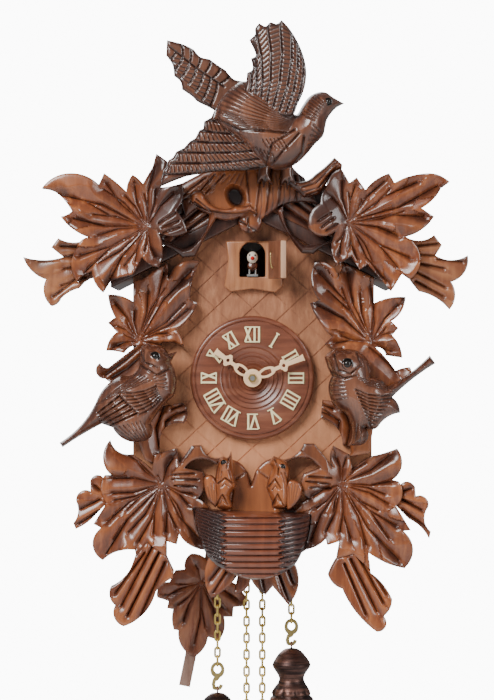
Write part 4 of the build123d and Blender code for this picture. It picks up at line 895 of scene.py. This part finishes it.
slab("carved_nest", nest_ring, -94, nest_height, 0.55, mat=NEST_WOOD, node="nest")
CHICK_MID = -103              # y of the middle of each chick
CHICKS = {  # outline, its sharp corners, wing, eye, broad cuts, fine cuts
    "left": ([
        (-13.6, -46.6), (-12.9, -51), (-12.4, -56), (-11.4, -63), (-10.4, -69.5), (-14.3, -75), (-13, -83),
        (-22.2, -83), (-23.6, -74), (-24, -64.5), (-22.8, -57), (-21.3, -52), (-18.8, -50), (-15.8, -50.6)],
        (0, 4),
        [(-31, -64), (-26, -62), (-22.5, -67), (-21, -76), (-23.5, -82.5), (-29, -76)], (-18.4, -53.6),
        [[(-14.9, -50.5), (-16.3, -57)], [(-22, -67), (-17.4, -63.4), (-12.6, -67)],
         [(-22.6, -80.5), (-19.2, -74), (-15.4, -80.5)]],
        [[(-21, -57), (-22, -64)], [(-19.5, -59), (-20, -64)], [(-15, -59), (-13, -64.5)],
         [(-20.9, -80), (-19.1, -76.6), (-17, -80)], [(-19.8, -69), (-17.4, -67), (-15, -69)]]),
    "right": ([
        (13.4, -49.6), (10.7, -54.2), (12.4, -57.6), (10, -64), (8.6, -70.5), (12, -78.5), (13, -83),
        (21, -83), (23.2, -76), (22.8, -66), (23.8, -58.5), (22, -53.5), (17.6, -51.2)], (0, 4),
        [(22.5, -66), (27.5, -65), (31.5, -69), (31, -75), (27, -81), (22.5, -84), (21, -76)], (19.0, -56.2),
        [[(14.2, -52), (16.6, -57), (16.2, -62)], [(10.4, -69), (14.4, -64), (18, -70)],
         [(12.6, -81), (16, -73.5), (19.6, -81)]],
        [[(18, -60), (20.4, -66)], [(20.6, -60), (22.2, -65)], [(14, -80), (16, -76), (18, -80)],
         [(12.6, -71), (14.6, -68), (16.4, -71)], [(20, -52.8), (22.4, -56)]]),
}
for kind, (ring, corners, wing, pupil, broad, fine_cuts) in CHICKS.items():
    lean = -1 if kind == "left" else 1
    chick = slab(f"chick_body_{kind}", smooth(ring, 4, sharp=corners), CHICK_MID,
        round_height(0.4, 7.5, 5, broad, 1.5, 0.55, fine_cuts, bumps=[(*pupil, 4, 1.6)], fine_depth=0.8),
        0.45, broad, LEAF, f"chick_{kind}", True)
    mid = sum(p[0] for p in wing) / len(wing)
    veins = [[(mid + k, -66 - abs(k)), (mid + 0.4 * k - lean, -81)] for k in (-3, -1, 1, 3)]
    slab(f"chick_wing_{kind}", smooth(wing, 4, sharp=(4,)), CHICK_MID,
         round_height(3.4, 2.2, 2.5, (), 0.9, 0.6, veins), 0.5)
    eye(f"chick_eye_{kind}", *pupil, 1.25, 0.4, chick)


# ---- weights, cast as pine cones
CONE_PROFILE = [  # depth below the top, radius
    (0, 0.2), (0.4, 3.6), (2, 6.2), (4, 8.4), (6.5, 10.3), (9, 11.9), (11, 12.8), (12.4, 12.5), (15, 10.8),
    (18, 8.9), (20.5, 8.2), (23, 9), (26, 11), (30, 13.2), (36, 14.8), (44, 15.7), (58, 16.0), (74, 15.6),
    (92, 13.4), (110, 10.4), (124, 7.6), (131, 5.0), (133.6, 2.4), (134, 0.2)]
SCALES_FROM, SCALE_ROW, SCALES_ROUND = 24, 7.5, 9


def cone_weight(name, node, body):
    """Overlapping scales below a smooth neck, and a wire eye for the hook."""
    lo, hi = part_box(node)
    cx, cy = (lo[0] + hi[0]) * 500, (lo[1] + hi[1]) * 500
    top = hi[2] * 1000 - 4.35
    depths = np.arange(0, 134.01, 0.8)
    radii = np.interp(depths, [p[0] for p in CONE_PROFILE], [p[1] for p in CONE_PROFILE])
    turns = 96
    verts, cuts, tops = [], [], []
    for d, r in zip(depths, radii):
        for k in range(turns):
            a = 2 * math.pi * k / turns
            row = (d - SCALES_FROM) / SCALE_ROW
            column = a / (2 * math.pi) * SCALES_ROUND + 0.5 * (math.floor(row) % 2)
            u = abs((column % 1) - 0.5) * 2
            v = row % 1
            scale = 0.5
            if d > SCALES_FROM + 1:
                scale = max(0.0, 1 - (u * (0.55 + 0.6 * v)) ** 2) * (1 - abs(1 - 2 * v) ** 3)
            if d > SCALES_FROM:
                lift = (scale - 0.8) * 1.9 * min(1, max(0, (d - SCALES_FROM) / 6))
            else:
                lift = -0.25 * (0.5 + 0.5 * math.sin(3 * a + d * 0.5)) * (d > 4)
            rr = max(0.15, r + min(lift, 0.25))
            verts.append(((cx + rr * math.cos(a)) / 1000, (cy + rr * math.sin(a)) / 1000, (top - d) / 1000))
            cuts.append(min(0.95, max(0, 0.9 - scale)) if d > SCALES_FROM else 0.3)
            tops.append(scale)
    faces = bands(len(depths), turns)
    faces.append(tuple(range(turns)))
    faces.append(tuple((len(depths) - 1) * turns + k for k in reversed(range(turns))))
    around, across, eye_r, wire_r = 24, 10, 2.3, 0.55
    faces += bands(around, across, len(verts), wrap=True)
    for i in range(around):
        for j in range(across):
            a, b = 2 * math.pi * i / around, 2 * math.pi * j / across
            reach = eye_r + wire_r * math.cos(b)
            verts.append(((cx + wire_r * math.sin(b)) / 1000, (cy + reach * math.cos(a)) / 1000,
                (top + 1.5 + reach * math.sin(a)) / 1000))
            cuts.append(0.2)
            tops.append(0.5)
    build(name, verts, faces, CONE, body, node, values=[("cut", cuts), ("crest", tops)])


cone_weight("cone_left", "time_weight", "time_drop")
cone_weight("cone_right", "strike_weight", "strike_drop")


# ---- cuckoo: turned head and body, beak, eyes
CUCKOO_Y = -91.5  # y of its axis, mm


def lathe(name, profile, place, axis, mat, node=None, turns=28):
    """profile: (distance along the axis, radius), mm; place: x, y, and w."""
    verts = []
    axis = Vector(axis).normalized()
    u = axis.orthogonal().normalized()
    v = axis.cross(u)
    x, y, w = place
    for d, r in profile:
        for k in range(turns):
            a = 2 * math.pi * k / turns
            p = Vector((x, y, DIAL_Z + w)) + axis * d + (u * math.cos(a) + v * math.sin(a)) * r
            verts.append(p / 1000)
    faces = bands(len(profile), turns, flip=True)
    faces.append(tuple(reversed(range(turns))))
    faces.append(tuple((len(profile) - 1) * turns + k for k in range(turns)))
    build(name, verts, faces, mat, "bird", node)


def ball(r, stretch=1.0, n=12):
    turns = [math.pi * k / n for k in range(n + 1)]
    return [(-r * stretch * math.cos(a), max(0.02, r * math.sin(a))) for a in turns]


lathe("cuckoo_head", ball(3.5, 1.08), (0, CUCKOO_Y, 77.6), (0, -0.15, 1), WHITE, "cuckoo")
lathe("cuckoo_body", [(0, 0.1), (0.6, 2.2), (2.5, 3.2), (5, 3.3), (8, 2.4), (11, 1.1), (13, 0.3)],
      (0, CUCKOO_Y, 73.4), (0, 0.93, -0.3), BIRD)
lathe("cuckoo_beak", [(0, 1.4), (0.9, 1.25), (1.8, 0.8), (2.4, 0.15)], (0, -94.3, 77.0), (0, -1, -0.1), RED)
for side in (-1, 1):
    lathe(f"cuckoo_eye_{side + 1}", ball(0.62), (side * 1.7, -94.3, 78.9), (0, -1, 0), BLACK, turns=14)


# ---- worked edges on the boards: the CAD shape with its sharp edges eased
def eased(node, width_mm, mat, body="case"):
    source = nodes[node]
    bm = bmesh.new()
    bm.from_mesh(source.data)
    bmesh.ops.transform(bm, matrix=source.matrix_world, verts=bm.verts)
    bmesh.ops.remove_doubles(bm, verts=bm.verts, dist=2e-6)
    bmesh.ops.dissolve_limit(bm, angle_limit=math.radians(1.5), verts=bm.verts, edges=bm.edges)
    sharp = [e for e in bm.edges if len(e.link_faces) == 2 and e.calc_face_angle() > math.radians(35)]
    bmesh.ops.bevel(bm, geom=sharp, offset=width_mm / 1000, offset_type="OFFSET", segments=2, profile=0.5,
        affect="EDGES", clamp_overlap=True)
    bmesh.ops.triangulate(bm, faces=[f for f in bm.faces if len(f.verts) > 4])
    mesh = bpy.data.meshes.new(node + "_eased")
    bm.to_mesh(mesh)
    bm.free()
    return finish_piece(node + "_eased", mesh, mat, body, node)


for node in ("side_left", "side_right", "bottom_board"):
    eased(node, 0.8, CASE)
eased("roof_left", 1.0, ROOF)
eased("roof_right", 1.0, ROOF)
eased("door_plaque", 0.8, PLAQUE)
door_mesh = eased("cuckoo_door", 0.4, DOOR, "door").data
eased("numerals", 0.18, NUMERAL)
eased("hour_hand", 0.3, HAND, "hands_hour")
eased("minute_hand", 0.3, HAND, "hands_minute")
eased("pendulum_rod", 0.5, STICK, "pendulum")
# the door's thin edge, which faces forward while it stands open, is coloured paler than its faces
door_mesh.materials.append(DOOR_EDGE)
for poly in door_mesh.polygons:
    poly.material_index = 1 if poly.normal.y < -0.7 else 0


def wire(name, points, radius, mat, body):
    """Bent wire through the points, mm."""
    curve = bpy.data.curves.new(name + "_line", "CURVE")
    curve.dimensions = "3D"
    curve.bevel_depth = radius / 1000
    curve.bevel_resolution = 3
    curve.use_fill_caps = True
    line = curve.splines.new("NURBS")
    line.points.add(len(points) - 1)
    for spot, place in zip(line.points, points):
        spot.co = (*(c / 1000 for c in place), 1)
    line.order_u = 3
    line.use_endpoint_u = True
    line.resolution_u = 10
    holder = bpy.data.objects.new(name + "_line", curve)
    mesh = bpy.data.meshes.new_from_object(holder)
    mesh.name = name
    bpy.data.objects.remove(holder)
    finish_piece(name, mesh, mat, body)


corner = [c * 1000 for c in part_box("cuckoo_door")[0]]
loop = [(1.6, 0.6, 17), (1.4, -1.6, 17), (1.2, -1.8, 12), (1.6, -1.6, 7), (3.0, -1.4, 6), (2.6, 0.6, 7.5)]
wire("door_loop", [[c + off for c, off in zip(corner, offset)] for offset in loop], 0.35, BRASS, "door")


# ---- turned dial: rolled rim, flat numeral ring, stepped rings in the middle
dial_hole = min(math.hypot(v.co.x * 1000, v.co.z * 1000 - DIAL_Z) for v in nodes["dial"].data.vertices)
turning = [(dial_hole, 0.0), (dial_hole, 6.2)]
for ring_r in (8.1, 10.5, 13.6, 16.1, 19.5):
    turning += [(ring_r - 1.4, 6.3), (ring_r - 0.7, 6.75), (ring_r - 0.1, 6.8), (ring_r, 5.9)]
turning += [(20.6, 6.6), (21.6, 7.0), (35.6, 7.0), (36.1, 6.9), (36.3, 6.2), (36.8, 6.2), (37.2, 6.8),
    (38.0, 6.9), (39.0, 6.5), (39.7, 5.6), (40.0, 4.2), (40.0, 0.3), (39.7, 0.0)]


def turned(name, profile, y_back, mat, node, turns=160):
    """profile: (radius, height forward of the back plane), mm, about the dial's middle."""
    verts = [(r * math.cos(2 * math.pi * k / turns) / 1000, (y_back - d) / 1000,
        (r * math.sin(2 * math.pi * k / turns) + DIAL_Z) / 1000) for r, d in profile for k in range(turns)]
    faces = bands(len(profile), turns, flip=True, wrap=True)
    build(name, verts, [tuple(reversed(f)) for f in faces], mat, node=node)


turned("turned_dial", turning, PANEL, DIAL, "dial")


# ---- chains, drawn wire a little thicker than the CAD links, and hooks stamped from sheet brass
CHAIN_SHOWN = -0.19  # links above this height run among the wheels, where they keep the CAD wire
CHAIN_GROWN = 0.3    # mm


def thicker(node, body):
    bm = bmesh.new()
    bm.from_mesh(nodes[node].data)
    bmesh.ops.remove_doubles(bm, verts=bm.verts, dist=2e-6)
    bm.normal_update()
    moved = [v.co + v.normal * (CHAIN_GROWN / 1000 if v.co.z < CHAIN_SHOWN else 0) for v in bm.verts]
    for v, place in zip(bm.verts, moved):
        v.co = place
    mesh = bpy.data.meshes.new(node + "_links")
    bm.to_mesh(mesh)
    bm.free()
    finish_piece(node + "_links", mesh, CHAIN, body, node)


for train in ("time", "strike"):
    thicker(train + "_chain", train + "_drop")
    thicker(train + "_pull_chain", train + "_pull")


def stamped_hook(name, node, body):
    """Flat hook: an eye, a neck that narrows, and a bent tail that holds the weight's eye."""
    lo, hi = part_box(node)
    x, top, y = (lo[0] + hi[0]) * 500, hi[2] * 1000, (lo[1] + hi[1]) * 500
    low = lo[2] * 1000
    eye_z = top - 4.6
    round_eye = [2 * math.pi * k / 36 for k in range(36)]
    loop = [(x + 3.5 * math.sin(a), eye_z + 4.0 * math.cos(a)) for a in round_eye]
    drop = eye_z - 3.6 - low
    stem = [(x + 0.2, eye_z - 3.4), (x - 0.6, eye_z - 4.6 - drop * 0.1), (x - 2.0, eye_z - 3.6 - drop * 0.35),
            (x - 2.7, eye_z - 3.6 - drop * 0.6), (x - 2.2, low + drop * 0.12), (x - 0.9, low + 0.9),
            (x + 0.8, low + 0.8), (x + 2.1, low + 1.8), (x + 2.6, low + 3.4)]
    strips = [  # middle line, half widths, closed, half thickness
        (loop, [1.15 + 0.4 * max(0.0, -math.cos(a)) for a in round_eye], True, 0.45),
        ([along(stem, k / 30) for k in range(31)], [2.4 - 1.2 * min(1, k / 9) for k in range(31)], False,
         0.38)]
    verts, faces = [], []
    for line, widths, closed, thick in strips:
        base, n = len(verts), len(line)
        for k, (px, pz) in enumerate(line):
            ax, az = line[(k - 1) % n] if closed or k else line[0]
            bx, bz = line[(k + 1) % n] if closed or k < n - 1 else line[-1]
            size = math.hypot(bx - ax, bz - az)
            nx, nz = -(bz - az) / size, (bx - ax) / size
            for s, dy in ((1, -thick), (1, thick), (-1, thick), (-1, -thick)):
                verts.append(((px + nx * widths[k] * s) / 1000, (y + dy) / 1000,
                    (pz + nz * widths[k] * s) / 1000))
        faces += bands(n, 4, base, flip=True, wrap=closed)
        if not closed:
            faces += [tuple(base + m for m in (3, 2, 1, 0)), tuple(base + 4 * (n - 1) + m for m in range(4))]
    mesh = bpy.data.meshes.new(name)
    mesh.from_pydata(verts, [], faces)
    bm = bmesh.new()
    bm.from_mesh(mesh)
    bmesh.ops.recalc_face_normals(bm, faces=bm.faces)
    bm.to_mesh(mesh)
    bm.free()
    finish_piece(name, mesh, HOOK, body, node)


stamped_hook("stamped_hook_left", "time_hook", "time_drop")
stamped_hook("stamped_hook_right", "strike_hook", "strike_drop")
